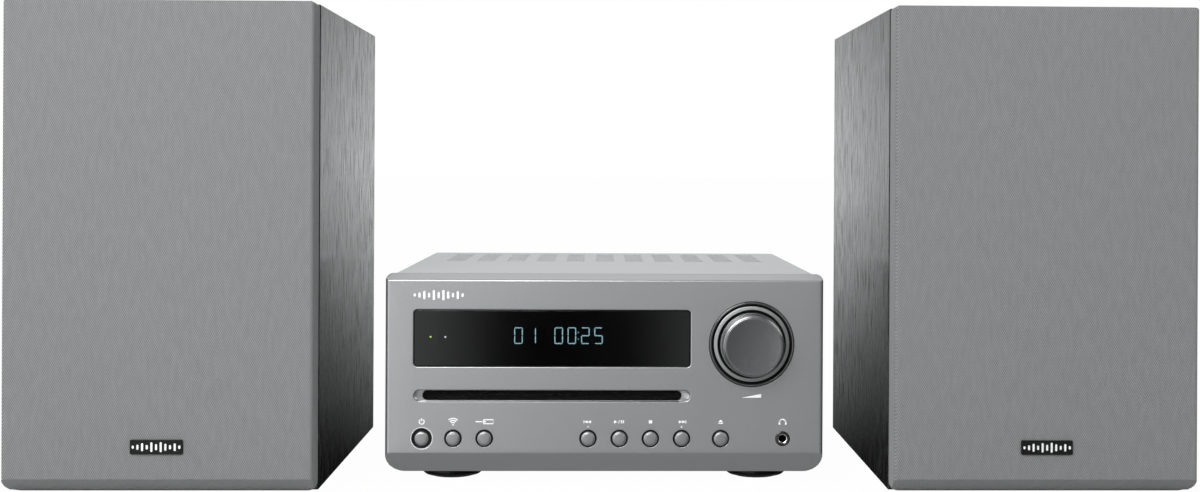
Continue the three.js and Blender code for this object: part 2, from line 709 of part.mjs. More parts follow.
// The outer form of the grille, pulled in on every outer side by inset: a slab whose edges are
// rounded and whose chin slopes back.
function grilleForm(inset, back) {
  const steps = 2; // flats round each corner, the same for the cloth and for the frame under it
  const { depth, chin, cornerR } = GRILLE;
  const half = SPEAKER.width / 2 - inset;
  const [bottom, top] = [inset + GAP, SPEAKER.height - inset];
  const front = -depth + inset;
  const side = new THREE.Shape();
  side.moveTo(back, bottom);
  side.lineTo(GRILLE.clothBack, bottom);
  side.quadraticCurveTo(front * 0.75, bottom + 1.2, front, bottom + chin);
  side.lineTo(front, top - cornerR);
  side.absarc(front + cornerR, top - cornerR, cornerR, Math.PI, Math.PI / 2, true);
  side.lineTo(back, top);
  const plan = roundedRect(-half, half, front, -front, cornerR);
  return common(
    alongX(side, -half, half, steps),
    alongY(grilleOutline(inset), front, back, steps),
    alongZ(plan, bottom, top, steps),
  );
}

function grilleOutline(inset) {
  const half = SPEAKER.width / 2 - inset;
  return roundedRect(-half, half, inset + GAP, SPEAKER.height - inset, GRILLE.lowCornerR, GRILLE.cornerR);
}

function grilleCloth() {
  return cut(grilleForm(0, GRILLE.clothBack), grilleForm(GRILLE.cloth, 1));
}

// A rigid rim and cross bar under the cloth, with a lip that shows behind the cloth's edge and the
// four pegs that plug into the baffle.
function grilleFrame() {
  const { rim, cloth, clothBack, back, depth } = GRILLE;
  const half = SPEAKER.width / 2 - rim;
  const barZ = WOOFER.z + WOOFER.flangeR + 3;
  const barHeight = 4;
  const reach = [-depth - 1, 1];
  const rimmed = cut(
    join(grilleForm(cloth + 0.1, back), alongY(grilleOutline(0.4), clothBack + GAP, back, 2)),
    alongY(roundedRect(-half, half, rim + 3, barZ, 8), ...reach, 2),
    alongY(roundedRect(-half, half, barZ + barHeight, SPEAKER.height - rim, 8), ...reach, 2),
  );
  const relief = block([-half - 1, half + 1], [-6, 5], [barZ - 1, barZ + barHeight + 1]);
  const pegs = pegPlaces().map(([x, z]) => rodY(x, z, PEG.r, -4, PEG.length));
  const bosses = pegPlaces().map(([x, z]) => rodY(x, z, PEG.bossR, -10, back));
  return join(cut(rimmed, relief), ...bosses, ...pegs);
}

function badge() {
  const back = -GRILLE.depth - 0.05;
  const outline = centredRect(0, BADGE.z, BADGE.width, BADGE.height, 0.6);
  return alongY(outline, back - BADGE.thickness + 0.05, back, 2);
}

// A pressed basket with six windows, and the magnet behind it.
function wooferFrame() {
  const { flangeR, basketR, magnetR, depth } = WOOFER;
  const neckY = 36;
  const basket = turned(
    [
      [flangeR, -3],
      [flangeR, 0],
      [basketR, 0],
      [basketR - 1, 6],
      [30, neckY],
      [magnetR, neckY + 2],
      [magnetR, depth],
      [0, depth],
      [0, neckY + 16],
      [18, neckY + 16],
      [18, neckY],
      [28, neckY - 2],
      [basketR - 3, 5],
      [basketR - 3, -1],
      [flangeR - 7.5, -1],
      [flangeR - 7.5, -3],
    ],
    ROUND,
  );
  const windows = [0, 1, 2].map((i) =>
    block([-80, 80], [9, 31], [-9, 9]).rotateY((i * Math.PI) / 3),
  );
  return cut(basket, ...windows);
}

// A rubber half roll, glued to the basket's step outside and to the cone's edge inside.
function wooferSurround() {
  const inner = WOOFER.coneR + 0.4;
  const outer = WOOFER.flangeR - 8;
  const [middle, rollR] = [(inner + outer) / 2, (outer - inner) / 2 - 1.6];
  const thickness = 0.7;
  const base = -1.3;
  const outside = arcPoints(middle, base - thickness, rollR + thickness, 0, -Math.PI, 4);
  const inside = arcPoints(middle, base, rollR, -Math.PI, 0, 4);
  return turned(
    [[outer, base], [outer, base - thickness], ...outside, [inner, base - thickness], [inner, base], ...inside],
    ROUND,
  );
}

// The diaphragm with its dust cap and the former that carries the voice coil.
function wooferCone() {
  const { coneR, capR } = WOOFER;
  const [rimY, neckY, sheet] = [-2, 20, 0.8];
  const formerR = 13;
  const domeDepth = 6;
  const domeR = (capR * capR + domeDepth * domeDepth) / (2 * domeDepth);
  const domeTop = neckY - 2 - domeDepth;
  const spread = Math.asin(capR / domeR);
  const dome = arcPoints(0, domeTop + domeR, domeR, -Math.PI / 2 + spread, -Math.PI / 2, 3);
  dome[dome.length - 1][0] = 0;
  const flareR = (coneR + capR) / 2 - 2;
  const flareY = (rimY + neckY) / 2 + 2.5;
  return turned(
    [
      [coneR, rimY],
      [flareR, flareY],
      ...dome,
      [0, domeTop + 1.2],
      [formerR - 1.2, neckY],
      [formerR - 1.2, neckY + 22],
      [formerR, neckY + 22],
      [formerR, neckY + sheet],
      [flareR + 0.6, flareY + sheet],
      [coneR, rimY + sheet],
    ],
    ROUND,
  );
}

// A soft-dome tweeter: a plate with a shallow horn, the dome at its throat and the magnet.
function tweeter() {
  const { flangeR, domeR, magnetR, depth } = TWEETER;
  const domeHeight = 5;
  const sphereR = (domeR * domeR + domeHeight * domeHeight) / (2 * domeHeight);
  const throatY = 2.5;
  const spread = Math.asin(domeR / sphereR);
  const dome = arcPoints(0, throatY - domeHeight + sphereR, sphereR, -Math.PI / 2, -Math.PI / 2 + spread, 3);
  dome[0][0] = 0;
  return turned(
    [
      ...dome,
      [domeR + 2.5, throatY],
      [domeR + 8, -2],
      [flangeR - 0.6, -3],
      [flangeR, -2.4],
      [flangeR, 0],
      [magnetR, 0],
      [magnetR, depth],
      [0, depth],
    ],
    ROUND,
  );
}

// The bass port: a straight tube into the cabinet with a flared mouth on the back.
function bassPort() {
  const { flangeR, boreR, wall, length } = PORT;
  const back = SPEAKER.depth;
  return turned(
    [
      [boreR, back - length],
      [boreR, back - 5],
      [boreR + 1.2, back - 1],
      [boreR + 4.5, back + 2],
      [flangeR - 1, back + 2.4],
      [flangeR, back + 1.6],
      [flangeR, back + GAP],
      [boreR + wall, back + GAP],
      [boreR + wall, back - length],
    ],
    ROUND,
  );
}

// The recessed terminal tray, with the crossover board fixed to its back.
function terminalCup() {
  const back = SPEAKER.depth;
  const { z, width, height, wellWidth, wellHeight, wellDepth } = CUP;
  const floor = back - wellDepth;
  const middle = (halfW, halfH) => [[-halfW, halfW], [z - halfH, z + halfH]];
  const [wellX, wellZ] = middle(wellWidth / 2, wellHeight / 2);
  const [tubX, tubZ] = middle(wellWidth / 2 + 1.8, wellHeight / 2 + 1.8);
  const flange = alongY(centredRect(0, z, width, height, 4), back + GAP, back + 2.4, 3);
  const tub = block(tubX, [floor - 2, back + GAP + JOIN], tubZ);
  const boardY = floor - 8;
  const crossover = [
    block([-24, 24], [boardY - 1.6, boardY], [z - 22, z + 22]),
    rodY(-16, z - 12, 3, boardY - JOIN, floor - 1),
    rodY(16, z + 12, 3, boardY - JOIN, floor - 1),
    rodY(-10, z + 8, 9, boardY - 14, boardY - 1, COARSE),
    rodX(boardY - 6, z - 12, 5, -4, 20),
  ];
  const well = block(wellX, [floor, back + 10], wellZ);
  const bays = [-LEVER.x, LEVER.x].map((x) =>
    block([x - LEVER.width / 2 - 2, x + LEVER.width / 2 + 2], [floor - 1, floor + 5], [z - 11, z - 9.6]),
  );
  return join(cut(join(flange, tub), well), ...crossover, ...bays);
}

// A spring lever that opens a terminal's wire clamp as it is pushed down.
function terminalLever() {
  const { width, height, back, reach } = LEVER;
  const side = polygon([
    [back, -height / 2],
    [back + 2.4, -height / 2],
    [back + 3.6, height / 2 - 4],
    [reach, height / 2 - 1.2],
    [reach, height / 2],
    [back, height / 2],
  ]);
  return alongX(side, -width / 2, width / 2);
}

function makeSpeaker(side) {
  const group = new THREE.Group();
  const named = (name) => side + "_" + name;
  const leverY = SPEAKER.depth - CUP.wellDepth;
  add(group, named("cabinet"), cabinet(), MATERIAL.veneer);
  add(group, named("baffle"), baffle(), MATERIAL.fibreboard);
  add(group, named("grille_frame"), grilleFrame(), MATERIAL.black);
  add(group, named("grille_cloth"), grilleCloth(), MATERIAL.cloth);
  add(group, named("badge"), badge(), MATERIAL.black);
  add(group, named("woofer_frame"), wooferFrame(), MATERIAL.steel, [0, 0, WOOFER.z]);
  add(group, named("woofer_surround"), wooferSurround(), MATERIAL.rubber, [0, 0, WOOFER.z]);
  add(group, named("woofer_cone"), wooferCone(), MATERIAL.paper, [0, 0, WOOFER.z]);
  add(group, named("tweeter"), tweeter(), MATERIAL.black, [0, 0, TWEETER.z]);
  add(group, named("bass_port"), bassPort(), MATERIAL.black, [0, 0, PORT.z]);
  add(group, named("terminal_cup"), terminalCup(), MATERIAL.black);
  add(group, named("red_lever"), terminalLever(), MATERIAL.red, [-LEVER.x, leverY, CUP.z]);
  add(group, named("black_lever"), terminalLever(), MATERIAL.black, [LEVER.x, leverY, CUP.z]);
  return group;
}

// ---------------------------------------------------------------- the system

const receiver = makeReceiver();
receiver.position.set(0, RECEIVER.setBack - MIDDLE_Y, 0);

const leftSpeaker = makeSpeaker("left");
leftSpeaker.position.set(-SPEAKER.x, -MIDDLE_Y, 0);

const rightSpeaker = makeSpeaker("right");
rightSpeaker.position.set(SPEAKER.x, -MIDDLE_Y, 0);

const system = new THREE.Group();
system.add(receiver, leftSpeaker, rightSpeaker);

export default system;
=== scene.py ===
"""The looks of a mini hi-fi system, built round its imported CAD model.

Shapes are given in millimetres in the row's frame: +X right, +Y away from the listener, +Z up.
"""

import math

import bmesh
import bpy
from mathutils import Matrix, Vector


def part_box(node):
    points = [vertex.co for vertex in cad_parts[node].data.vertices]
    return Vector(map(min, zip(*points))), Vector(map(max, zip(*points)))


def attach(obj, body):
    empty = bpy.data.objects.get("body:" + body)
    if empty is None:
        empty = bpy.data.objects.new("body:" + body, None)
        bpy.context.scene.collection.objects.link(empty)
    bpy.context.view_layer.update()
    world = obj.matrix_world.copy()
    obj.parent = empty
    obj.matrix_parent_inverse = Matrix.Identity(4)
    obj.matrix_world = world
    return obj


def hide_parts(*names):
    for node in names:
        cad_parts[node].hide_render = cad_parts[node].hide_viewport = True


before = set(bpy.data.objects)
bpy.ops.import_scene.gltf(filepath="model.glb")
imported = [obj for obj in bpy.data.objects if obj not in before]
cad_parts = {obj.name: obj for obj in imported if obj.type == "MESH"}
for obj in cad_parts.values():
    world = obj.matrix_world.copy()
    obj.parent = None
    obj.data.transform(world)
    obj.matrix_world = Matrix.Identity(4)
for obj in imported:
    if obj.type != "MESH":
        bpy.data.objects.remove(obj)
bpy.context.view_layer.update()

MM = 0.001
SIDES = ("left", "right")


def box_mm(node):
    """A CAD node's lowest and highest corners."""
    low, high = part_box(node)
    return low / MM, high / MM


def middle(node):
    low, high = box_mm(node)
    return (low + high) / 2


def ahead_of(node, y):
    """The point at depth y in line with a node's middle, seen from the front."""
    centre = middle(node)
    return Vector((centre.x, y, centre.z))


# ------------------------------------------------------------------ driving dimensions

PANEL_LOW, PANEL_HIGH = box_mm("front_panel")
FACE = PANEL_LOW.y  # the flat face of the receiver's front
PANEL = {
    "half": PANEL_HIGH.x,
    "depth": PANEL_HIGH.y - PANEL_LOW.y,
    "bottom": PANEL_LOW.z,
    "top": PANEL_HIGH.z,
    "chin": 10.4,  # how far the chin rises from back to front
    "brow": 2.5,  # how far the brow falls from back to front
    "brow_depth": 8,
    "side_r": 2,
    "low_r": 8,
    "high_r": 2.5,
    "wall": 3,
}
WINDOW = {"width": 132.6, "height": 27.3, "r": 1.8, "gap": 0.35}
SLOT = {"width": 124.2, "height": 4.8, "recess_width": 132.5, "recess_height": 5.6, "recess": 1.9}
BUTTONS = ("power", "wireless", "source", "previous", "play", "stop", "next", "eject")
BUTTON = {"hole_r": 4.15, "power_hole_r": 4.8, "cap_r": 3.35, "reach": 1.5}
KNOB = {"face_r": 13.9, "base_r": 15.3, "ring_r": 20.3, "reach": 13}
DIGIT = {"width": 4.1, "height": 8.0, "stroke": 0.46, "gap": 0.14, "pitch": 6.35}
DIGIT_PAIRS = (("01", -38.5), ("00", -19.15), ("25", -6.3))  # and the middle of each pair
COLON_X = -12.85
DISPLAY_LAMPS = (("green_lamp", -83.9), ("white_lamp", -76.8))
GRILLE = {"chin": 8, "r": 2, "low_r": 4.5, "thickness": 0.6}
EYE = {"x": -1.97, "away": 867.3, "z": 152.83, "roll": -0.281, "yaw": -1.578}  # the camera, from the face
LENS = {"focal": 54.27, "shift_x": -0.04298, "shift_y": -0.06478}  # its shifts in sensor widths
# Each lamp's name, place in metres, power in watts and size in metres.
LAMPS = (("key_lamp", (-0.36, -0.95, 0.7), 11.8, 0.7), ("fill_lamp", (1.2, -1.0, 0.8), 4, 0.8))
LOOP = 72  # points round a turned shape


# ------------------------------------------------------------------ shape helpers


def circle(x, z, r, count=LOOP):
    turn = math.tau / count
    return [(x + r * math.cos(i * turn), z + r * math.sin(i * turn)) for i in range(count)]


def rounded_box(x, z, width, height, r, high_r=None, steps=8):
    """A rectangle with rounded corners, anticlockwise from the lower right one."""
    points = []
    for corner, (side, level) in enumerate(((1, -1), (1, 1), (-1, 1), (-1, -1))):
        radius = r if level < 0 or high_r is None else high_r
        centre_x = x + side * (width / 2 - radius)
        centre_z = z + level * (height / 2 - radius)
        for step in range(steps + 1):
            angle = math.pi / 2 * (corner - 1 + step / steps)
            points.append((centre_x + radius * math.cos(angle), centre_z + radius * math.sin(angle)))
    return points


def growing_box(x, z, width, height, r):
    """A rounded box as a function of how far its outline is pushed out."""
    return lambda offset: rounded_box(x, z, width + 2 * offset, height + 2 * offset, r + offset)


def growing_circle(x, z, r):
    """A circle as a function of how far its outline is pushed out."""
    return lambda offset: circle(x, z, r + offset)


def arc(x, z, r, start, end, steps=16):
    """Points on an arc, with its angles in degrees."""
    angles = [math.radians(start + (end - start) * i / steps) for i in range(steps + 1)]
    return [(x + r * math.cos(a), z + r * math.sin(a)) for a in angles]


def at_depth(points, y):
    return [(x, y, z) for x, z in points]


def softened(points, steps=4):
    """A profile whose corners are rounded. Each point is (radius, along) or (radius, along, fillet)."""
    rounded = []
    for i, point in enumerate(points):
        here = Vector(point[:2])
        if len(point) == 2:
            rounded.append(tuple(here))
            continue
        before = Vector(points[i - 1][:2]) - here
        after = Vector(points[(i + 1) % len(points)][:2]) - here
        start = here + before.normalized() * min(point[2], before.length * 0.49)
        end = here + after.normalized() * min(point[2], after.length * 0.49)
        for step in range(steps + 1):
            t = step / steps
            rounded.append(tuple(start * (1 - t) ** 2 + here * 2 * t * (1 - t) + end * t * t))
    return rounded


def tube(bm, loops):
    """Joins neighbouring loops, which have the same number of points."""
    rings = [[bm.verts.new(Vector(point) * MM) for point in loop] for loop in loops]
    for near, far in zip(rings, rings[1:]):
        for i in range(len(near)):
            j = (i + 1) % len(near)
            bm.faces.new((near[i], near[j], far[j], far[i]))
    return rings


def weld(bm):
    bmesh.ops.remove_doubles(bm, verts=bm.verts, dist=0.001 * MM)


def cap(bm, y):
    """Fills what is open in the plane at depth y, and leaves the holes in it."""
    weld(bm)
    rim = [
        edge
        for edge in bm.edges
        if len(edge.link_faces) == 1 and all(abs(v.co.y / MM - y) < 1e-3 for v in edge.verts)
    ]
    bmesh.ops.triangle_fill(bm, use_beauty=True, edges=rim)


def plate(bm, outline, front, back):
    """A flat outline pushed from one depth to another."""
    rings = tube(bm, [at_depth(outline, front), at_depth(outline, back)])
    for ring in rings:
        bm.faces.new(ring)


def soft_plate(bm, outline, front, back, edge=0.3, steps=3):
    """A plate whose front edge is rounded. outline(offset) gives the plate's outline, grown by offset."""
    loops = []
    for step in range(steps + 1):
        angle = math.pi / 2 * step / steps
        shrunk = outline(-edge * (1 - math.sin(angle)))
        loops.append(at_depth(shrunk, front + edge * (1 - math.cos(angle))))
    loops.append(at_depth(outline(0), back))
    rings = tube(bm, loops)
    bm.faces.new(rings[0])
    bm.faces.new(rings[-1])


def hole(bm, outline, front, back, edge=0.3, steps=4):
    """A hole's wall with a rounded front edge. outline(offset) gives its outline, grown by offset."""
    loops = []
    for step in range(steps + 1):
        angle = math.pi / 2 * step / steps
        grown = outline(edge * (1 - math.sin(angle)))
        loops.append(at_depth(grown, front + edge * (1 - math.cos(angle))))
    loops.append(at_depth(outline(0), back))
    tube(bm, loops)


def lathe(bm, profile, centre, axis="Y", count=LOOP, closed=False):
    """A body turned about an axis through centre, from (radius, along) points."""
    loops = []
    for r, along in profile:
        ring = circle(0, 0, r, count)
        if axis == "Y":
            loops.append([Vector((u, along, v)) + centre for u, v in ring])
        else:
            loops.append([Vector((u, v, along)) + centre for u, v in ring])
    if closed:
        loops.append(loops[0])
    tube(bm, loops)


def scene_object(bm, name, material):
    """Turns a bmesh into an object in the scene."""
    mesh = bpy.data.meshes.new(name)
    bm.to_mesh(mesh)
    bm.free()
    mesh.materials.append(material)
    made = bpy.data.objects.new(name, mesh)
    bpy.context.scene.collection.objects.link(made)
    return made


def shade_evenly(piece):
    """Lets each corner's shading follow its largest faces."""
    shading = piece.modifiers.new("even_shading", "WEIGHTED_NORMAL")
    shading.keep_sharp = True


def make_piece(bm, name, material, body="receiver", stands_for=(), crease=32):
    """Turns a bmesh into a piece that rides on a body, with its creases kept sharp."""
    weld(bm)
    bmesh.ops.recalc_face_normals(bm, faces=bm.faces)
    for face in bm.faces:
        face.smooth = True
    for edge in bm.edges:
        if len(edge.link_faces) == 2 and edge.calc_face_angle(0) > math.radians(crease):
            edge.smooth = False
    piece = scene_object(bm, name, MATERIALS[material])
    shade_evenly(piece)
    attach(piece, body)
    if stands_for:
        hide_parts(*stands_for)


def turned_piece(
    name, profile, centre, material, body="receiver", stands_for=(), axis="Y", closed=False, count=LOOP
):
    """A piece turned on a lathe."""
    bm = bmesh.new()
    lathe(bm, profile, centre, axis, count, closed)
    make_piece(bm, name, material, body, stands_for)


def flat_piece(name, outlines, front, back, material, body="receiver"):
    """A piece made of flat outlines, each pushed from one depth to another."""
    bm = bmesh.new()
    for outline in outlines:
        plate(bm, outline, front, back)
    make_piece(bm, name, material, body)


def turned_set(prefix, parts, centre, node):
    """Rings turned about one axis, from (name, profile, material). The first replaces a CAD node."""
    for i, (name, profile, material) in enumerate(parts):
        stands_for = () if i else [node]
        turned_piece(prefix + name, profile, centre, material, stands_for=stands_for, closed=True)


def dress(node, material, bevel=0.3, segments=2):
    """Gives a CAD node its material and slightly rounded edges."""
    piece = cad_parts[node]
    piece.data.materials.clear()
    piece.data.materials.append(MATERIALS[material])
    piece.data.shade_smooth()
    weld_modifier = piece.modifiers.new("weld", "WELD")
    weld_modifier.merge_threshold = 0.001 * MM
    edges = piece.modifiers.new("edges", "BEVEL")
    edges.limit_method = "ANGLE"
    edges.angle_limit = math.radians(35)
    edges.width = bevel * MM
    edges.segments = segments
    edges.harden_normals = True
    shade_evenly(piece)


# ------------------------------------------------------------------ material helpers


class Nodes:
    """A tree of shader nodes, for a material or the world."""

    def __init__(self, tree):
        self.tree = tree

    def node(self, kind, **settings):
        made = self.tree.nodes.new(kind)
        for key, value in settings.items():
            setattr(made, key, value)
        return made

    def link(self, source, socket):
        self.tree.links.new(source, socket)

    def fill(self, made, values):
        """Sets a node's inputs, in order, to numbers or to other nodes' outputs."""
        for socket, value in zip(made.inputs, values):
            if isinstance(value, (int, float)):
                socket.default_value = value
            else:
                self.link(value, socket)
        return made.outputs[0]

    def math(self, operation, a, b):
        return self.fill(self.node("ShaderNodeMath", operation=operation), (a, b))

    def product(self, first, *others):
        for other in others:
            first = self.math("MULTIPLY", first, other)
        return first

    def weighted(self, *shares):
        """The sum of some factors, each given with its weight."""
        parts = [self.math("MULTIPLY", factor, weight) for factor, weight in shares]
        total = parts[0]
        for part in parts[1:]:
            total = self.math("ADD", total, part)
        return total

    def straight(self, value, low, high, start, end, kind="LINEAR"):
        """Goes from start to end as a value goes from low to high."""
        made = self.node("ShaderNodeMapRange", interpolation_type=kind)
        return self.fill(made, (value, low, high, start, end))

    def smooth(self, value, low, high, start, end):
        """The same, setting off and arriving gently."""
        return self.straight(value, low, high, start, end, "SMOOTHSTEP")

    def blend(self, factor, first, second):
        """Two shaders mixed by a factor."""
        return self.fill(self.node("ShaderNodeMixShader"), (factor, first, second))


class Graph(Nodes):
    """A material whose textures are placed in millimetres."""

    def __init__(self, name, roughness=0.5, metallic=0.0):
        self.material = bpy.data.materials.new(name)
        self.material.use_nodes = True
        super().__init__(self.material.node_tree)
        self.shader = self.tree.nodes["Principled BSDF"]
        self.set(Roughness=roughness, Metallic=metallic)
        self.place = self.node("ShaderNodeTexCoord").outputs["Object"]

    def mapped(self, scale=(1, 1, 1), turn=(0, 0, 0), shift=(0, 0, 0)):
        """The place in millimetres, moved by shift, then turned and scaled."""
        moved = self.node("ShaderNodeMapping", vector_type="TEXTURE")
        moved.inputs["Location"].default_value = [v * MM for v in shift]
        self.link(self.place, moved.inputs["Vector"])
        mapping = self.node("ShaderNodeMapping")
        mapping.inputs["Scale"].default_value = [v / MM for v in scale]
        mapping.inputs["Rotation"].default_value = [math.radians(v) for v in turn]
        self.link(moved.outputs["Vector"], mapping.inputs["Vector"])
        return mapping.outputs["Vector"]

    def noise(self, size, stretch=(1, 1, 1), detail=3, turn=(0, 0, 0)):
        """Noise whose blobs are about size across, drawn out by stretch."""
        texture = self.node("ShaderNodeTexNoise")
        texture.inputs["Scale"].default_value = 1
        texture.inputs["Detail"].default_value = detail
        scale = [1 / (size * s) for s in stretch]
        self.link(self.mapped(scale, turn), texture.inputs["Vector"])
        return texture.outputs["Fac"]

    def wave(self, pitch, turn=(0, 0, 0), kind="BANDS", shift=(0, 0, 0), distortion=0.0):
        """Bands or rings one pitch apart. Rings run round the Y axis through shift."""
        texture = self.node("ShaderNodeTexWave", wave_type=kind)
        texture.rings_direction = "Y"
        texture.inputs["Scale"].default_value = math.tau / 20 / pitch
        texture.inputs["Distortion"].default_value = distortion
        self.link(self.mapped((1, 1, 1), turn, shift), texture.inputs["Vector"])
        return texture.outputs["Fac"]

    def ramp(self, factor, stops):
        """Colours along a factor, from (place, colour) stops."""
        ramp = self.node("ShaderNodeValToRGB")
        elements = ramp.color_ramp.elements
        while len(elements) < len(stops):
            elements.new(0.5)
        for element, (place, colour) in zip(elements, stops):
            element.position = place
            element.color = (*colour, 1)
        self.link(factor, ramp.inputs["Fac"])
        return ramp.outputs["Color"]

    def colour(self, source):
        self.link(source, self.shader.inputs["Base Color"])

    def roughness(self, factor, low, high):
        """Roughness from low to high over a noise's useful middle range."""
        self.link(self.straight(factor, 0.3, 0.7, low, high), self.shader.inputs["Roughness"])

    def bump(self, height, depth, strength=1.0):
        """Relief of a given depth in millimetres."""
        made = self.node("ShaderNodeBump")
        made.inputs["Distance"].default_value = depth * MM
        made.inputs["Strength"].default_value = strength
        self.link(height, made.inputs["Height"])
        self.link(made.outputs["Normal"], self.shader.inputs["Normal"])

    def set(self, **values):
        for key, value in values.items():
            self.shader.inputs[key.replace("_", " ")].default_value = value

    def see_through(self, factor, other):
        """Shows another shader by the factor in place of this material's own."""
        mixed = self.blend(factor, self.shader.outputs["BSDF"], other)
        self.link(mixed, self.tree.nodes["Material Output"].inputs["Surface"])


def shade(colour, factor):
    return tuple(min(1.0, c * factor) for c in colour)


def grey(level, warmth=0.0):
    return (level * (1 + warmth), level, level * (1 - warmth))


def finish(
    name,
    colour,
    roughness,
    metallic=0.0,
    size=1.0,
    stretch=(1, 1, 1),
    mottle=0.1,
    relief=0.01,
    coat=0.0,
    shine=0.5,
):
    """A plain surface with a fine mottle in its colour, sheen and relief."""
    graph = Graph(name, roughness, metallic)
    pattern = graph.noise(size, stretch)
    stops = [(0.3, shade(colour, 1 - mottle)), (0.7, shade(colour, 1 + mottle))]
    graph.colour(graph.ramp(pattern, stops))
    graph.roughness(pattern, roughness * 0.88, roughness * 1.12)
    graph.bump(graph.noise(size / 3, stretch), relief)
    graph.set(Coat_Weight=coat, Specular_IOR_Level=shine)
    return graph.material


def panel_metal():
    """Satin silver-grey lacquer with fine metal flake."""
    graph = Graph("panel_metal", 0.28, 0.8)
    flake = graph.noise(0.9, detail=0)
    cloud = graph.noise(40)
    tone = graph.weighted((flake, 0.7), (cloud, 0.3))
    graph.colour(graph.ramp(tone, [(0.3, grey(0.403, -0.012)), (0.7, grey(0.413, -0.008))]))
    graph.roughness(flake, 0.275, 0.29)
    return graph.material


def cover_paint():
    """Satin silver paint with a very fine mottle."""
    graph = Graph("cover_paint", 0.25, 0.7)
    mottle = graph.noise(0.8)
    graph.colour(graph.ramp(mottle, [(0.3, grey(0.60, -0.01)), (0.7, grey(0.62, -0.01))]))
    graph.roughness(mottle, 0.24, 0.26)
    return graph.material


def spun_metal(name, colour, roughness, centre, pitch=0.35):
    """Metal turned on a lathe: fine rings round the Y axis, with a faint sheen between them."""
    graph = Graph(name, roughness, 1.0)
    rings = graph.wave(pitch, kind="RINGS", shift=centre, distortion=0.4)
    patch = graph.noise(3, detail=4)
    tone = graph.weighted((rings, 0.35), (patch, 0.65))
    graph.colour(graph.ramp(tone, [(0.25, shade(colour, 0.95)), (0.75, shade(colour, 1.05))]))
    graph.roughness(patch, roughness * 0.94, roughness * 1.06)
    graph.bump(rings, 0.0004)
    graph.set(Anisotropic=0.4)
    return graph.material


def grille_cloth():
    """Grey cloth in a steep twill: bright ribs crossed by finer threads, over slow changes of tone."""
    graph = Graph("grille_cloth", 0.92)
    # The weave follows x across the front and y round the sides, so it is laid along x + y.
    split = graph.node("ShaderNodeSeparateXYZ")
    graph.link(graph.place, split.inputs["Vector"])
    across = graph.math("ADD", split.outputs["X"], split.outputs["Y"])
    joined = graph.node("ShaderNodeCombineXYZ")
    graph.link(across, joined.inputs["X"])
    graph.link(split.outputs["Z"], joined.inputs["Y"])
    graph.place = joined.outputs["Vector"]
    ribs = graph.wave(0.78, turn=(0, 0, 27), distortion=0.5)
    threads = graph.wave(0.5, turn=(0, 0, -58), distortion=0.4)
    fuzz = graph.noise(0.4, detail=4)
    streak = graph.noise(2.0, stretch=(1, 4, 1), turn=(0, 0, 27), detail=2)
    height = graph.weighted((ribs, 0.36), (threads, 0.22), (fuzz, 0.3))
    tone = graph.math("ADD", height, graph.math("MULTIPLY", streak, 0.16))
    stops = [(0.3, grey(0.098, -0.02)), (0.55, grey(0.174, -0.015)), (0.8, grey(0.265, -0.01))]
    graph.colour(graph.ramp(tone, stops))
    graph.bump(height, 0.13, 0.8)
    graph.set(Sheen_Weight=0.15, Sheen_Roughness=0.5)
    return graph.material


def cabinet_vinyl():
    """Black wood-grain vinyl: glossy between upright matt pores, which are a little paler."""
    graph = Graph("cabinet_vinyl")
    pores = graph.noise(0.8, stretch=(1, 1, 14), detail=4)
    bands = graph.noise(3, stretch=(1, 1, 7), detail=4)
    tone = graph.weighted((pores, 0.55), (bands, 0.45))
    graph.colour(graph.ramp(tone, [(0.42, grey(0.035)), (0.5, grey(0.006)), (0.66, grey(0.003))]))
    graph.link(graph.ramp(tone, [(0.42, grey(0.3)), (0.53, grey(0.08))]), graph.shader.inputs["Roughness"])
    graph.bump(pores, 0.05, 0.6)
    return graph.material


def felt_material():
    """Black felt with pale fibres."""
    graph = Graph("felt", 0.95)
    fibres = graph.noise(0.5, stretch=(2.5, 1, 1), detail=5)
    graph.colour(graph.ramp(fibres, [(0.4, grey(0.002)), (0.55, grey(0.005)), (0.75, grey(0.02))]))
    graph.bump(fibres, 0.3)
    graph.set(Specular_IOR_Level=0.1)
    return graph.material


def glow(name, colour, strength):
    """A lit segment or lamp, a little uneven across its face."""
    graph = Graph(name, 0.4)
    graph.set(Base_Color=(*shade(colour, 0.2), 1))
    uneven = graph.ramp(graph.noise(0.6, detail=1), [(0.3, shade(colour, 0.85)), (0.7, colour)])
    graph.link(uneven, graph.shader.inputs["Emission Color"])
    graph.set(Emission_Strength=strength)
    return graph.material


def smoked_glass():
    """A dark polished pane that lets the lit display show through."""
    graph = Graph("smoked_pane", 0.06)
    haze = graph.noise(30)
    graph.colour(graph.ramp(haze, [(0.3, grey(0.001)), (0.7, grey(0.002))]))
    graph.roughness(haze, 0.05, 0.08)
    graph.set(Alpha=0.92)
    return graph.material


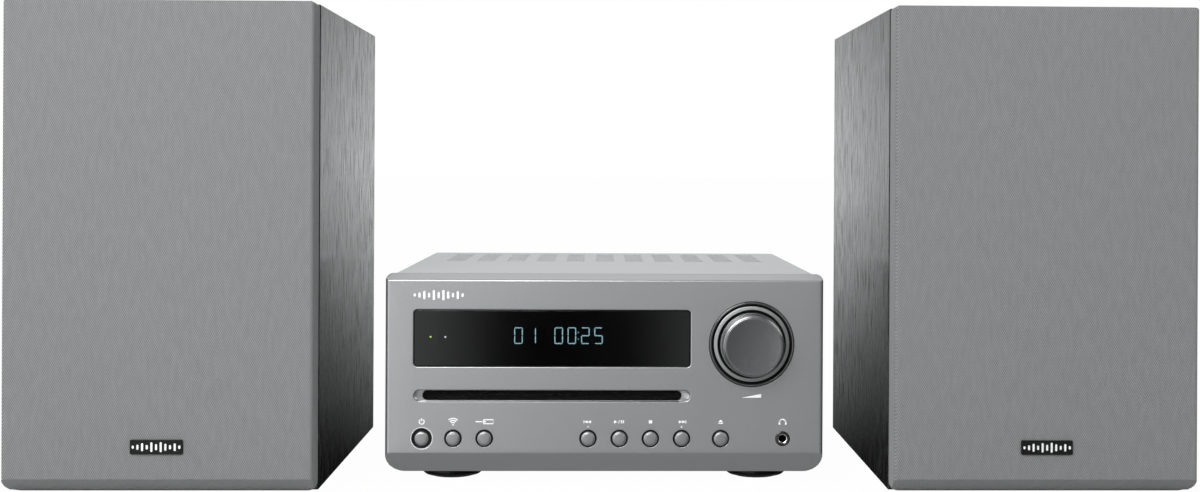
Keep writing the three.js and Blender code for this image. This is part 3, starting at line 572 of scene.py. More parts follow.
MATERIALS = {
    "panel": panel_metal(),
    "cover": cover_paint(),
    "cloth": grille_cloth(),
    "vinyl": cabinet_vinyl(),
    "felt": felt_material(),
    "pane": smoked_glass(),
    "digits": glow("digit_glow", (0.45, 0.86, 1.0), 90),
    "green_lamp": glow("green_lamp_glow", (0.62, 1.0, 0.12), 110),
    "white_lamp": glow("white_lamp_glow", (0.8, 0.95, 1.0), 100),
    "button": finish("button_metal", grey(0.34, -0.01), 0.34, 0.85, 0.8, mottle=0.04, relief=0.001),
    "ring_bevel": finish("ring_bevel_metal", grey(0.2), 0.2, 0.95, size=2, mottle=0.1, relief=0.002),
    "ring_seat": spun_metal("ring_seat_metal", grey(0.42, -0.01), 0.34, tuple(middle("volume_knob"))),
    "knob_face": spun_metal("knob_face_metal", grey(0.23, -0.01), 0.26, tuple(middle("volume_knob"))),
    "knob_side": finish("knob_side_metal", grey(0.3, -0.01), 0.22, 1.0, 1.5, (1, 5, 1), 0.03, 0.001),
    "black": finish("black_plastic", grey(0.012), 0.42, size=0.5, mottle=0.25, relief=0.015),
    "gloss_black": finish("gloss_black_plastic", grey(0.006), 0.12, size=3, relief=0.003, coat=0.6),
    "foot": finish("foot_black", grey(0.003), 0.14, size=3, relief=0.002, shine=0.2),
    "shadow": finish("shadow_black", grey(0.002), 0.7, size=0.5, mottle=0.3, shine=0.1),
    "ink": finish("white_ink", grey(0.82), 0.45, size=0.4, mottle=0.04, relief=0.004),
    # White print on the badges, and a painted highlight round the power button.
    "print_and_highlight": finish("white_print_and_highlight", grey(0.86), 0.4, 0.3, size=0.8, mottle=0.05, relief=0.003),
    "badge": finish("badge_black", grey(0.008), 0.35, size=1, mottle=0.2, relief=0.003, shine=0.15),
    "steel": finish("zinc_steel", grey(0.5, -0.02), 0.38, 0.9, size=6, mottle=0.14, relief=0.01),
    "nickel": finish("nickel", grey(0.62, 0.02), 0.2, 1.0, size=0.8, mottle=0.06, relief=0.003),
    "board": finish("solder_mask", (0.012, 0.07, 0.03), 0.35, size=2, mottle=0.3, relief=0.02),
    "alloy": finish("heat_sink_alloy", grey(0.5), 0.4, 0.9, 1, (1, 1, 12), relief=0.02),
    "core": finish("transformer_varnish", (0.12, 0.06, 0.03), 0.4, 0.4, 0.6, (1, 1, 20), 0.3),
    "rubber": finish("rubber", grey(0.014), 0.7, size=0.6, mottle=0.25, relief=0.03),
    "fibreboard": finish("baffle_paint", grey(0.012), 0.6, size=0.5, mottle=0.3, relief=0.03),
    "basket": finish("basket_paint", grey(0.02), 0.35, 0.4, size=0.8, mottle=0.2, relief=0.02),
    "paper": finish("coated_paper", grey(0.02), 0.6, size=1.2, mottle=0.35, relief=0.06),
    "silk": finish("tweeter_silk", grey(0.02), 0.5, size=0.4, mottle=0.3, relief=0.03),
    "red": finish("red_plastic", (0.42, 0.012, 0.012), 0.3, size=0.6, mottle=0.12, relief=0.01),
}


# ------------------------------------------------------------------ receiver front


def fall_in(depth, radius):
    """How far a rounded edge of this radius has pulled in at a depth behind the face."""
    if depth >= radius:
        return 0
    return radius - math.sqrt(radius**2 - (radius - depth) ** 2)


def panel_loop(depth):
    """The outline of the panel's outside at a depth behind its face."""
    half = PANEL["half"] - fall_in(depth, PANEL["side_r"])
    floor = PANEL["bottom"] + PANEL["chin"] * (1 - depth / PANEL["depth"]) + fall_in(depth, 0.5)
    rise = min(depth / PANEL["brow_depth"], 1)
    roof = PANEL["top"] - PANEL["brow"] * (1 - rise) - fall_in(depth, 0.8)
    centre_z, height = (PANEL["bottom"] + PANEL["top"]) / 2, PANEL["top"] - PANEL["bottom"]
    outline = rounded_box(0, centre_z, PANEL["half"] * 2, height, PANEL["low_r"], PANEL["high_r"])
    held = [(max(-half, min(half, x)), max(floor, min(roof, z))) for x, z in outline]
    return at_depth(held, FACE + depth)


def panel_inside(depth):
    """The outline of the panel's hollow at a depth behind its face."""
    wall = PANEL["wall"]
    floor_z, floor_fall = 17, 7.5
    roof_wall, roof_rise = 3.9, 1.7
    share = (depth - wall) / (PANEL["depth"] - wall)
    floor = floor_z - floor_fall * share
    roof = PANEL["top"] - roof_wall + roof_rise * share
    outline = rounded_box(0, (floor + roof) / 2, 2 * (PANEL["half"] - wall), roof - floor, 3)
    return at_depth(outline, FACE + depth)


def slot_wall(bm):
    """The disc slot: a shallow recess whose ends run down to the narrower slot."""
    centre = middle("slot_felt")
    lip = 0.3

    def stadium(width, height, depth):
        return at_depth(rounded_box(centre.x, centre.z, width, height, height / 2), FACE + depth)

    wide, tall = SLOT["recess_width"], SLOT["recess_height"]
    loops = [
        stadium(wide + 2 * lip, tall + 2 * lip, 0),
        stadium(wide + 0.7 * lip, tall + 0.7 * lip, 0.3 * lip),
        stadium(wide, tall, lip),
        stadium(wide - 0.6, tall - 0.1, SLOT["recess"] * 0.65),
        stadium(wide - 2.4, tall - 0.4, SLOT["recess"] * 0.95),
        stadium(SLOT["width"] + 0.5, SLOT["height"] + 0.1, SLOT["recess"]),
        stadium(SLOT["width"], SLOT["height"], SLOT["recess"] + 0.2),
        stadium(SLOT["width"], SLOT["height"], PANEL["wall"]),
    ]
    tube(bm, loops)


def make_panel():
    bm = bmesh.new()
    back = FACE + PANEL["wall"]
    depths = [0, 0.1, 0.25, 0.5, 0.8, 1.2, 1.6, 2, 3, 4, 5, 6, 7, 8, 9, 10, 11, PANEL["depth"]]
    inside = [panel_inside(depth) for depth in (PANEL["depth"], 7.5, PANEL["wall"])]
    tube(bm, [panel_loop(depth) for depth in depths] + inside)

    window = middle("display_window")
    opening = growing_box(window.x, window.z, WINDOW["width"], WINDOW["height"], WINDOW["r"])
    hole(bm, opening, FACE, back, edge=0.5)
    slot_wall(bm)
    jack_r = 3.2
    round_holes = [("volume_knob", KNOB["ring_r"] + 0.2, 0.35), ("phones_jack", jack_r, 0.2)]
    for name in BUTTONS:
        r = BUTTON["power_hole_r" if name == "power" else "hole_r"]
        round_holes.append((name + "_button", r, 0.25))
    for node, r, edge in round_holes:
        place = middle(node)
        hole(bm, growing_circle(place.x, place.z, r), FACE, back, edge)
    cap(bm, FACE)
    cap(bm, back)
    make_piece(bm, "front_panel_shell", "panel", stands_for=["front_panel"])


def make_window():
    """A pane let into the panel with a thin dark gap round it, and its flange behind; near-black painted
    shade fills the gap and covers the flange.
    """
    low, high = box_mm("display_window")
    centre = (low + high) / 2
    gap = WINDOW["gap"]
    width, height = WINDOW["width"] - 2 * gap, WINDOW["height"] - 2 * gap
    outline = growing_box(centre.x, centre.z, width, height, WINDOW["r"] - gap)
    bm = bmesh.new()
    soft_plate(bm, outline, low.y, high.y, edge=0.25)
    make_piece(bm, "smoked_pane", "pane", stands_for=["display_window"])

    # Painted shade: a near-black ring fills the gap and frames the pane from behind.
    bm = bmesh.new()
    outer = rounded_box(centre.x, centre.z, high.x - low.x, high.z - low.z, 2)
    inner = outline(0.02)
    front, back = FACE + PANEL["wall"] + 0.05, high.y
    loops = [at_depth(outer, front), at_depth(outer, back), at_depth(inner, back), at_depth(inner, front)]
    tube(bm, loops + loops[:1])
    make_piece(bm, "window_gap_shade", "shadow")


# A figure's bars, each (x, z, upright) in a cell one unit wide and two high.
BARS = {
    "top": (0.5, 2, False),
    "bottom": (0.5, 0, False),
    "middle": (0.5, 1, False),
    "upper_left": (0, 1.5, True),
    "lower_left": (0, 0.5, True),
    "upper_right": (1, 1.5, True),
    "lower_right": (1, 0.5, True),
}
FIGURES = {
    "0": ("top", "bottom", "upper_left", "lower_left", "upper_right", "lower_right"),
    "1": ("upper_right", "lower_right"),
    "2": ("top", "upper_right", "middle", "lower_left", "bottom"),
    "5": ("top", "upper_left", "middle", "lower_right", "bottom"),
}


def bar_outline(x, z, length, upright, stroke):
    """A lit bar with pointed ends, centred on (x, z)."""
    reach, half = length / 2, stroke / 2
    upper = [(reach, 0), (reach - half, half), (half - reach, half)]
    points = upper + [(-u, -v) for u, v in upper]
    return [(x - v, z + u) if upright else (x + u, z + v) for u, v in points]


def figure_outlines(figure, x, z):
    """The lit bars of a figure centred on (x, z)."""
    stroke = DIGIT["stroke"]
    width, height = DIGIT["width"] - stroke, DIGIT["height"] - stroke
    outlines = []
    for bar in FIGURES[figure]:
        u, v, upright = BARS[bar]
        length = (height / 2 if upright else width) - DIGIT["gap"]
        bar_x, bar_z = x + (u - 0.5) * width, z + (v / 2 - 0.5) * height
        outlines.append(bar_outline(bar_x, bar_z, length, upright, stroke))
    return outlines


def make_display():
    """The lit figures and two lamps, just in front of the display's glass."""
    glass = box_mm("display_module")[0].y
    middle_z = middle("display_window").z
    centre_z = middle_z + 0.8
    dot_r, lamp_r = 0.3, 0.46
    outlines = [circle(COLON_X, centre_z + level, dot_r, 12) for level in (-1.6, 1.5)]
    for pair, x in DIGIT_PAIRS:
        outlines += figure_outlines(pair[0], x - DIGIT["pitch"] / 2, centre_z)
        outlines += figure_outlines(pair[1], x + DIGIT["pitch"] / 2, centre_z)
    flat_piece("display_figures", outlines, glass - 0.25, glass - 0.05, "digits")
    for name, x in DISPLAY_LAMPS:
        spot = circle(x, middle_z + 0.1, lamp_r, 20)
        flat_piece("display_" + name, [spot], glass - 1.2, glass + 0.1, name)


def nap(x, z):
    """The uneven surface of felt."""
    return 0.16 * math.sin(x * 7.1 + z * 3.3) * math.cos(x * 2.3 - z * 9.7)


def sheet_edge(rows):
    """The points round the edge of a grid, in order."""
    right = [row[-1] for row in rows[1:-1]]
    left = [row[0] for row in rows[1:-1]]
    return rows[0] + right + rows[-1][::-1] + left[::-1]


def make_felt():
    """Two felt lips that meet along the slot's middle, with a ragged nap."""
    low, high = box_mm("slot_felt")
    centre = (low + high) / 2
    columns, rows, parting = 220, 9, 0.12
    bm = bmesh.new()
    for side in (-1, 1):
        front, back = [], []
        for row in range(rows + 1):
            z = centre.z + side * (parting + (high.z - centre.z - parting) * row / rows)
            lip = max(0, 1 - row / 2)
            xs = [low.x + (high.x - low.x) * column / columns for column in range(columns + 1)]
            raised = [(x, low.y + 0.2 + nap(x, z) / 2 - lip / 4, z + nap(x, z) * 0.3 * lip) for x in xs]
            front.append([bm.verts.new(Vector(point) * MM) for point in raised])
            back.append([bm.verts.new(Vector((x, high.y, z)) * MM) for x in xs])
        for sheet in (front, back):
            for near, far in zip(sheet, sheet[1:]):
                for j in range(columns):
                    bm.faces.new((near[j], near[j + 1], far[j + 1], far[j]))
        edge, rear = sheet_edge(front), sheet_edge(back)
        for i in range(len(edge)):
            j = (i + 1) % len(edge)
            bm.faces.new((edge[i], edge[j], rear[j], rear[i]))
    make_piece(bm, "felt_curtain", "felt", stands_for=["slot_felt"], crease=60)


def make_volume_ring():
    """A dark polished bevel, a groove painted near-black as shade, and a satin ring round the knob."""
    centre = ahead_of("volume_knob", FACE)
    outer = KNOB["ring_r"]
    back = PANEL["wall"] + 1.4
    lip = [(outer, 0.15, 0.2), (outer - 0.25, -0.1, 0.15), (outer - 0.75, -0.05, 0.15)]
    lip += [(outer - 1.1, 0.5, 0.2), (outer - 1.5, 1.3, 0.2)]
    bevel = softened(lip + [(outer - 1.5, back), (outer, back)])
    # Painted shade: the groove is near-black.
    groove = [(outer - 1.55, 2.2), (outer - 2.0, 2.2), (outer - 2.0, back), (outer - 1.55, back)]
    seat = softened([(outer - 2.05, 0.58, 0.3), (16.4, 0.38, 0.3), (16.4, back), (outer - 2.05, back)])
    parts = (("bevel", bevel, "ring_bevel"), ("groove", groove, "shadow"), ("seat", seat, "ring_seat"))
    turned_set("volume_ring_", parts, centre, "volume_ring")


def make_knob():
    """A turned knob: bright flank, rounded shoulder and a slightly dished dark face."""
    centre = ahead_of("volume_knob", FACE)
    front, face_r = -KNOB["reach"], KNOB["face_r"]
    dish_r = face_r * 0.93
    dish = [(dish_r * i / 12, front + 0.85 - 0.6 * (i / 12) ** 2) for i in range(13)]
    shoulder = [(face_r * 0.965, front + 0.1, 0.2), (face_r, front + 0.3, 0.3)]
    shoulder += [(face_r + 0.08, front + 0.9, 0.1), (face_r + 0.65, front + 1.15, 0.25)]
    shoulder.append((face_r + 0.8, front + 2, 0.4))
    flank = [(KNOB["base_r"], -3, 0.5), (KNOB["base_r"], 1.5, 0.3), (0, 1.5)]
    body = dish[-1:] + softened(shoulder) + softened(flank) + [(0, front + 3)]
    turned_piece("volume_knob_body", body, centre, "knob_side", "volume_control", ["volume_knob"])
    face = dish + [(dish_r, front + 1.2), (0, front + 1.2)]
    turned_piece("volume_knob_face", face, centre, "knob_face", "volume_control")


def make_buttons():
    """Each button is a stepped metal cap on a black skirt; round the first, a thin bright ring is a
    painted highlight for its hole's chamfer.
    """
    r, reach = BUTTON["cap_r"], BUTTON["reach"]
    face = [(0, -reach - 0.02), (r * 0.74, -reach, 0.15), (r * 0.8, 0.2 - reach, 0.1)]
    face += [(r * 0.93, 0.26 - reach, 0.1), (r, 0.5 - reach, 0.2)]
    cap_profile = softened(face + [(r, 1.2), (0, 1.2)])
    neck, flange, stem, stem_end = r - 0.05, r + 2.1, 1.6, 10.4
    skirt = [(0, 1.25), (neck, 1.25), (neck, 3.3), (flange, 3.3)]
    skirt += [(flange, 4.2), (stem, 4.2), (stem, stem_end), (0, stem_end)]
    for name in BUTTONS:
        node, body = name + "_button", name + "_key"
        centre = ahead_of(node, FACE)
        turned_piece(name + "_cap", cap_profile, centre, "button", body, [node], count=48)
        turned_piece(name + "_skirt", skirt, centre, "black", body, count=32)
    # Painted highlight: a flat bright ring where light falls on the power hole's chamfer.
    r = BUTTON["power_hole_r"] + 0.3
    ring = [(r, -0.05), (r + 0.24, -0.05), (r + 0.24, 0.02), (r, 0.02)]
    turned_piece("power_surround", ring, ahead_of("power_button", FACE), "print_and_highlight", closed=True)


def make_phones_jack():
    """A glossy collar round a nickel sleeve, closed behind by a near-black disc of painted shade."""
    centre = ahead_of("phones_jack", FACE)
    depth = box_mm("phones_jack")[1].y - FACE
    lip = [(2.3, 0.5), (2.3, -0.1, 0.15), (2.7, -0.45, 0.2), (3.45, -0.3, 0.3), (3.6, -0.02)]
    collar = softened(lip + [(3, -0.02), (3, depth), (2.3, depth)])
    sleeve = softened([(1.8, 0.35, 0.15), (2.28, 0.15, 0.1), (2.28, 10), (1.8, 10)])
    # Painted shade: a near-black disc deep in the sleeve.
    stop = [(0, 8), (1.79, 8), (1.79, 9.8), (0, 9.8)]
    parts = (("collar", collar, "gloss_black"), ("sleeve", sleeve, "nickel"))
    turned_set("phones_", parts, centre, "phones_jack")
    turned_piece("phones_depth_shade", stop, centre, "shadow")


# ------------------------------------------------------------------ printed icons


def stroke_outline(points, width):
    """The outline of a line of this width through some points, with square ends."""
    left, right = [], []
    for i, point in enumerate(points):
        here = Vector(point)
        before = Vector(points[max(i - 1, 0)])
        after = Vector(points[min(i + 1, len(points) - 1)])
        along = (after - before).normalized()
        normal = Vector((-along.y, along.x)) * width / 2
        left.append(tuple(here + normal))
        right.append(tuple(here - normal))
    return left + right[::-1]


def mark_outlines(width, height):
    """A plain row of rounded bars, like a sound level display."""
    levels = (0.3, 0.5, 0.8, 0.45, 0.95, 0.6, 1, 0.7, 0.42, 0.75, 0.35)
    bar_share = 0.45
    pitch = width / (len(levels) - 1 + bar_share)
    bar = pitch * bar_share
    return [
        rounded_box((i - (len(levels) - 1) / 2) * pitch, 0, bar, height * level, bar * 0.49, steps=3)
        for i, level in enumerate(levels)
    ]


def triangle(x, size, direction=1):
    """A triangle that points along X."""
    base, tip = x - direction * size / 2, x + direction * size / 2
    return [(base, -size / 2), (tip, 0), (base, size / 2)]


def square(x, width, height):
    return rounded_box(x, 0, width, height, 0.02, steps=1)


def shifted(outline, x, z):
    return [(u + x, v + z) for u, v in outline]


def button_icons(line):
    """The outlines of each button's icon round (0, 0), in the order of BUTTONS."""
    power = [stroke_outline(arc(0, 0, 1.2, 125, 415), line), shifted(square(0, line, 1.4), 0, 0.95)]
    waves = [circle(0, -1.5, 0.4, 16)]
    for r in (1.1, 2.1, 3.1):
        waves.append(stroke_outline(arc(0, -1.5, r, 45, 135), line))
    source = [
        stroke_outline([(-4.2, 0), (-0.4, 0)], line),
        triangle(0.2, 1.5),
        stroke_outline([(-0.6, 0.95), (4.2, 0.95), (4.2, -0.95), (-0.6, -0.95)], line),
    ]
    previous = [square(-2, 0.4, 1.5), triangle(-1, 1.5, -1), triangle(0.6, 1.5, -1)]
    divider = stroke_outline([(-0.55, -0.9), (0.25, 0.9)], 0.28)
    play = [triangle(-1.7, 1.6), divider, square(1, 0.5, 1.5), square(1.9, 0.5, 1.5)]
    stop = [square(0, 1.6, 1.5)]
    following = [triangle(-0.6, 1.5), triangle(1, 1.5), square(2, 0.4, 1.5)]
    eject = [[(-1.1, -0.1), (1.1, -0.1), (0, 1.05)], shifted(square(0, 2.2, 0.4), 0, -0.65)]
    return power, waves, source, previous, play, stop, following, eject


def icons():
    """Each icon's centre in the front's plane, and its outlines."""
    line, above, low_mark, under_knob = 0.48, 8, 5.6, 24.8
    found = {}
    for name, outlines in zip(BUTTONS, button_icons(line)):
        place = middle(name + "_button")
        found[name] = (place.x, place.z + above, outlines)
    softer, louder = middle("previous_button"), middle("next_button")
    dash, notch = square(0, 1, 0.3), square(0, 0.3, 1)
    found["softer"] = (softer.x, softer.z + low_mark, [dash])
    found["louder"] = (louder.x, louder.z + low_mark, [dash])
    found["louder_upright"] = (louder.x, louder.z + low_mark, [notch])
    knob, jack = middle("volume_knob"), middle("phones_jack")
    wedge = [(-4.6, -0.85), (4.6, -0.85), (4.6, 0.95)]
    found["volume"] = (knob.x, knob.z - under_knob, [wedge])
    earpieces = [rounded_box(x, -0.6, 0.8, 1.4, 0.25, steps=3) for x in (-1.5, 1.5)]
    band = stroke_outline(arc(0, -0.2, 1.5, 0, 180), line)
    found["phones"] = (jack.x, jack.z + above, [band] + earpieces)
    return found


def make_icons():
    """White ink on the panel, a few hundredths of a millimetre thick."""
    printed = {"icon_" + name: icon for name, icon in icons().items()}
    window = middle("display_window")
    mark_width, mark_height, above_window = 23.8, 5, 20.6
    mark_x = window.x - (WINDOW["width"] - mark_width) / 2
    mark = mark_outlines(mark_width, mark_height)
    printed["receiver_mark"] = (mark_x, window.z + above_window, mark)
    for name, (x, z, outlines) in printed.items():
        placed = [shifted(outline, x, z) for outline in outlines]
        flat_piece(name, placed, FACE - 0.04, FACE + 0.02, "ink")


# ------------------------------------------------------------------ receiver casing


def make_feet():
    """Polished feet with a rubber pad underneath."""
    past_cad = 0.6  # the feet look this much larger in radius than the CAD's
    for node in [f"{end}_{side}_foot" for end in ("front", "rear") for side in SIDES]:
        low, high = box_mm(node)
        centre = Vector(((low.x + high.x) / 2, (low.y + high.y) / 2, 0))
        r, top = (high.x - low.x) / 2 + past_cad, high.z
        edge = [(r - 4.2, 0.7), (r - 1.6, 0.8, 0.5), (r, 2, 0.9)]
        shell = softened(edge + [(r, top), (0, top), (0, 0.7)])
        turned_piece(node + "_shell", shell, centre, "foot", stands_for=[node], axis="Z")
        pad = softened([(0, 0), (r - 4.4, 0, 0.3), (r - 4.2, 0.8), (0, 0.8)])
        turned_piece(node + "_pad", pad, centre, "rubber", axis="Z")


def screw_profile(r, height):
    """A pan head seen from behind, with a round recess; it grows along +Y."""
    recess = [(0, height * 0.45), (r * 0.42, height * 0.45), (r * 0.5, height, 0.1)]
    return softened(recess + [(r, height * 0.55, r * 0.3), (r, -0.3), (0, -0.3)])


def corners_of(low, high, inset):
    """The four corners of a box seen from behind, pulled in by an inset."""
    return [(x, z) for x in (low.x + inset, high.x - inset) for z in (low.z + inset, high.z - inset)]


def screw_row(name, places, y, profile, body):
    for i, (x, z) in enumerate(places):
        turned_piece(f"{name}_screw_{i + 1}", profile, Vector((x, y, z)), "nickel", body, count=32)


def make_screws():
    """Screws that hold the rear panel and the terminal cups."""
    low, high = box_mm("rear_panel")
    inset = 6
    places = corners_of(low, high, inset) + [(0, high.z - inset)]
    screw_row("rear_panel", places, high.y, screw_profile(2.7, 1.5), "receiver")
    for side in SIDES:
        low, high = box_mm(side + "_terminal_cup")
        places = corners_of(low, high, 4.2)
        screw_row(side + "_cup", places, high.y, screw_profile(2.4, 1.3), side + "_speaker")


def make_sockets():
    """Speaker sockets: a moulded plate with coloured posts, each round a hollow metal core."""
    low, high = box_mm("speaker_sockets")
    reach = 13.1  # of the posts, from the plate's face
    plate_face = high.y - reach
    width, height = high.x - low.x, high.z - low.z
    centre = ahead_of("speaker_sockets", plate_face)
    bm = bmesh.new()
    outline = growing_box(centre.x, centre.z, width, height, 1.5)
    soft_plate(bm, outline, -plate_face, -plate_face + 1.5, 0.4)
    mirror_depth(bm)
    make_piece(bm, "socket_plate", "black", stands_for=["speaker_sockets"])
    first, last = 9, width - 9
    bore = [(2.1, reach - 0.6), (2.1, 1), (2.9, 0)]
    post = softened(bore + [(5, 0, 0.4), (5, 4.5, 0.4), (4.3, 5.2, 0.3), (4.3, reach, 0.6)])
    core = softened([(1.2, reach - 0.8), (2.05, reach - 0.8, 0.2), (2.05, 0.5), (1.2, 0.5)])
    for i in range(4):
        place = Vector((low.x + first + i * (last - first) / 3, plate_face, centre.z))
        colour = "red" if i % 2 else "black"
        turned_piece(f"socket_post_{i + 1}", post, place, colour, closed=True)
        turned_piece(f"socket_core_{i + 1}", core, place, "nickel", closed=True)


def mirror_depth(bm):
    """Turns a shape built facing the front so that it faces the back."""
    for vert in bm.verts:
        vert.co.y = -vert.co.y


# ------------------------------------------------------------------ loudspeakers


def grille_loop(side, depth, inset=0.0):
    """The outline of the grille's cloth at a depth behind its front."""
    low, high = box_mm(side + "_grille_cloth")
    x, half = (low.x + high.x) / 2, (high.x - low.x) / 2 - inset
    chin_depth = high.y - low.y - GRILLE["thickness"]
    chin = GRILLE["chin"] * (1 - min(depth / chin_depth, 1)) ** 1.6
    floor = low.z + chin + inset
    roof = high.z - fall_in(depth, GRILLE["r"]) - inset
    width = half - fall_in(depth, GRILLE["r"])
    height = high.z - low.z - 2 * inset
    outline = rounded_box(x, (low.z + high.z) / 2, half * 2, height, GRILLE["low_r"], GRILLE["r"])
    held = [(max(x - width, min(x + width, u)), max(floor, min(roof, v))) for u, v in outline]
    return at_depth(held, low.y + depth)


def make_grilles():
    """Cloth drawn tight over a rigid frame, with its edge tucked in at the back."""
    for side in SIDES:
        low, high = box_mm(side + "_grille_cloth")
        depths = [0, 0.08, 0.25, 0.5, 0.8, 1.2, 1.6, 2, 3, 4.5, 6, 8, 10, high.y - low.y]
        bm = bmesh.new()
        outer = [grille_loop(side, depth) for depth in depths]
        lining = GRILLE["thickness"] + 0.05
        inner_depths = (high.y - low.y, 6, 2, lining)
        inner = [grille_loop(side, depth, GRILLE["thickness"]) for depth in inner_depths]
        tube(bm, outer + inner)
        cap(bm, low.y)
        cap(bm, low.y + lining)
        make_piece(bm, side + "_cloth_cover", "cloth", side + "_grille", [side + "_grille_cloth"])


def make_badges():
    """A black plate that the plain white mark nearly fills."""
    for side in SIDES:
        low, high = box_mm(side + "_badge")
        centre = (low + high) / 2
        width, height = high.x - low.x, high.z - low.z
        body = side + "_grille"
        bm = bmesh.new()
        soft_plate(bm, growing_box(centre.x, centre.z, width, height, 0.6), low.y, high.y, 0.25)
        make_piece(bm, side + "_badge_plate", "badge", body, [side + "_badge"])
        bars = [shifted(bar, centre.x, centre.z) for bar in mark_outlines(width * 0.92, height * 0.7)]
        flat_piece(side + "_badge_mark", bars, low.y - 0.06, low.y + 0.05, "print_and_highlight", body)


def quarter(steps=8):
    """Angles over a quarter turn."""
    return [math.pi / 2 * i / steps for i in range(steps + 1)]


def make_ports():
    """A flared bass port."""
    bore_r, outside_r, flare, flare_depth = 17, 19, 7.2, 9
    for side in SIDES:
        node = side + "_bass_port"
        low, high = box_mm(node)
        flange = (high.x - low.x) / 2
        length = high.y - low.y
        mouth = [(bore_r + flare * math.sin(t) ** 3, -flare_depth * math.cos(t)) for t in quarter()]
        outside = [(flange, -0.1, 0.8), (flange, -2.2), (outside_r, -2.2), (outside_r, -length)]
        profile = [(bore_r, -length)] + mouth + softened(outside)
        centre = ahead_of(node, high.y)
        turned_piece(side + "_port_tube", profile, centre, "black", side + "_speaker", [node], closed=True)


def make_cones():
    """Woofer cones, with their dust caps and voice coils."""
    for side in SIDES:
        node = side + "_woofer_cone"
        low, high = box_mm(node)
        r = (high.x - low.x) / 2
        cap_r = r - 27
        cone = [(r, 0), (r - 8, 4.5), (r - 16, 10.2), (r - 22, 15), (cap_r, 19.6)]
        dome = [(cap_r * math.cos(t), 17.5 - 6 * math.sin(t)) for t in quarter()]
        coil = [(0, 13), (12, 22), (12, 43), (13, 43), (13, 22)]
        profile = cone + dome + coil + [(r - 21, 16), (r - 7, 5.4), (r, 0.8)]
        turned_piece(side + "_cone", profile, ahead_of(node, low.y), "paper", side + "_cone", [node])


def make_surrounds():
    """The rubber roll round each cone."""
    half_turn = [math.pi * i / 12 for i in range(13)]
    thick = 0.7
    for side in SIDES:
        node = side + "_woofer_surround"
        low, high = box_mm(node)
        cone_low, cone_high = box_mm(side + "_woofer_cone")
        outer = (high.x - low.x) / 2
        inner = (cone_high.x - cone_low.x) / 2 + 0.4
        ridge, r = (outer + inner) / 2, (outer - inner) / 2 - 1.3
        top = high.y - low.y
        rise, hollow = top - thick, top - 2 * thick
        arch = [(ridge + r * math.cos(t), rise * (1 - math.sin(t))) for t in half_turn]
        under = [(ridge - (r - thick) * math.cos(t), top - hollow * math.sin(t)) for t in half_turn]
        profile = [(outer, top), (outer, rise)] + arch + [(inner, rise), (inner, top)] + under
        centre = ahead_of(node, low.y)
        turned_piece(side + "_roll", profile, centre, "rubber", side + "_speaker", [node], closed=True)


def dress_cad_nodes():
    """Materials and edge rounding for the CAD nodes that stay."""
    for side in SIDES:
        dress(side + "_cabinet", "vinyl", 0.7, 3)
        dress(side + "_baffle", "fibreboard")
        dress(side + "_grille_frame", "black", 0.2)
        dress(side + "_woofer_frame", "basket")
        dress(side + "_tweeter", "silk", 0.2)
        dress(side + "_terminal_cup", "black", 0.4)
        dress(side + "_red_lever", "red", 0.5)
        dress(side + "_black_lever", "gloss_black", 0.5)
    dress("top_cover", "cover", 0.1)
    dress("rear_panel", "cover", 0.2)
    dress("base_tray", "steel", 0.25)
    dress("display_module", "shadow")
    dress("front_board", "board", 0.1)
    dress("main_board", "board", 0.2)
    dress("heat_sink", "alloy", 0.2)
    dress("transformer", "core", 0.4)
    for node in ("deck_frame", "volume_shaft"):
        dress(node, "steel", 0.2)
    for node in ("turntable", "pickup_sled"):
        dress(node, "black", 0.2)
    dress("loading_roller", "rubber", 0.2)
    dress("jack_block", "black", 0.25)
    dress("mains_inlet", "black", 0.3)


# ------------------------------------------------------------------ studio


def make_card(name, corners, graph):
    """A flat four-sided sheet that is part of the studio, with its corners in metres."""
    bm = bmesh.new()
    bm.faces.new([bm.verts.new(corner) for corner in corners])
    card = scene_object(bm, name, graph.material)
    return card


def make_floor():
    """White paper, lit from below for the eye, so that only a trace of shadow shows on it."""
    half = 30
    graph = Graph("floor_paper", 0.8)
    graph.colour(graph.ramp(graph.noise(400), [(0.3, grey(0.84)), (0.7, grey(0.87))]))
    white = graph.node("ShaderNodeEmission").outputs["Emission"]
    seen = graph.node("ShaderNodeLightPath").outputs["Is Camera Ray"]
    graph.see_through(graph.math("MULTIPLY", seen, 0.98), white)
    corners = [(x * half, y * half, 0) for x, y in ((-1, -1), (1, -1), (1, 1), (-1, 1))]
    floor = make_card("floor", corners, graph)
    floor.visible_glossy = False


def make_flags():
    """Black cards behind the gaps beside the receiver, for mirrored light that leaves its sides."""
    cover_high = box_mm("top_cover")[1]
    back = (cover_high.y + 3) * MM
    top = cover_high.z * MM
    for outward, cabinet_x in ((-1, box_mm("left_cabinet")[1].x), (1, box_mm("right_cabinet")[0].x)):
        near, far = outward * cover_high.x * MM, cabinet_x * MM
        graph = Graph("flag_card", 1.0)
        graph.set(Base_Color=(0, 0, 0, 1), Specular_IOR_Level=0)
        # It stops only light on its way outwards, so the cabinets still mirror the backdrop.
        split = graph.node("ShaderNodeSeparateXYZ")
        graph.link(graph.node("ShaderNodeNewGeometry").outputs["Incoming"], split.inputs["Vector"])
        inwards = graph.math("GREATER_THAN", graph.math("MULTIPLY", split.outputs["X"], outward), 0)
        graph.see_through(inwards, graph.node("ShaderNodeBsdfTransparent").outputs["BSDF"])
        corners = [(near, back, 0), (far, back, 0), (far, back, top), (near, back, top)]
        flag = make_card("flag", corners, graph)
        flag.visible_camera = False
        flag.visible_diffuse = False
        flag.visible_shadow = False


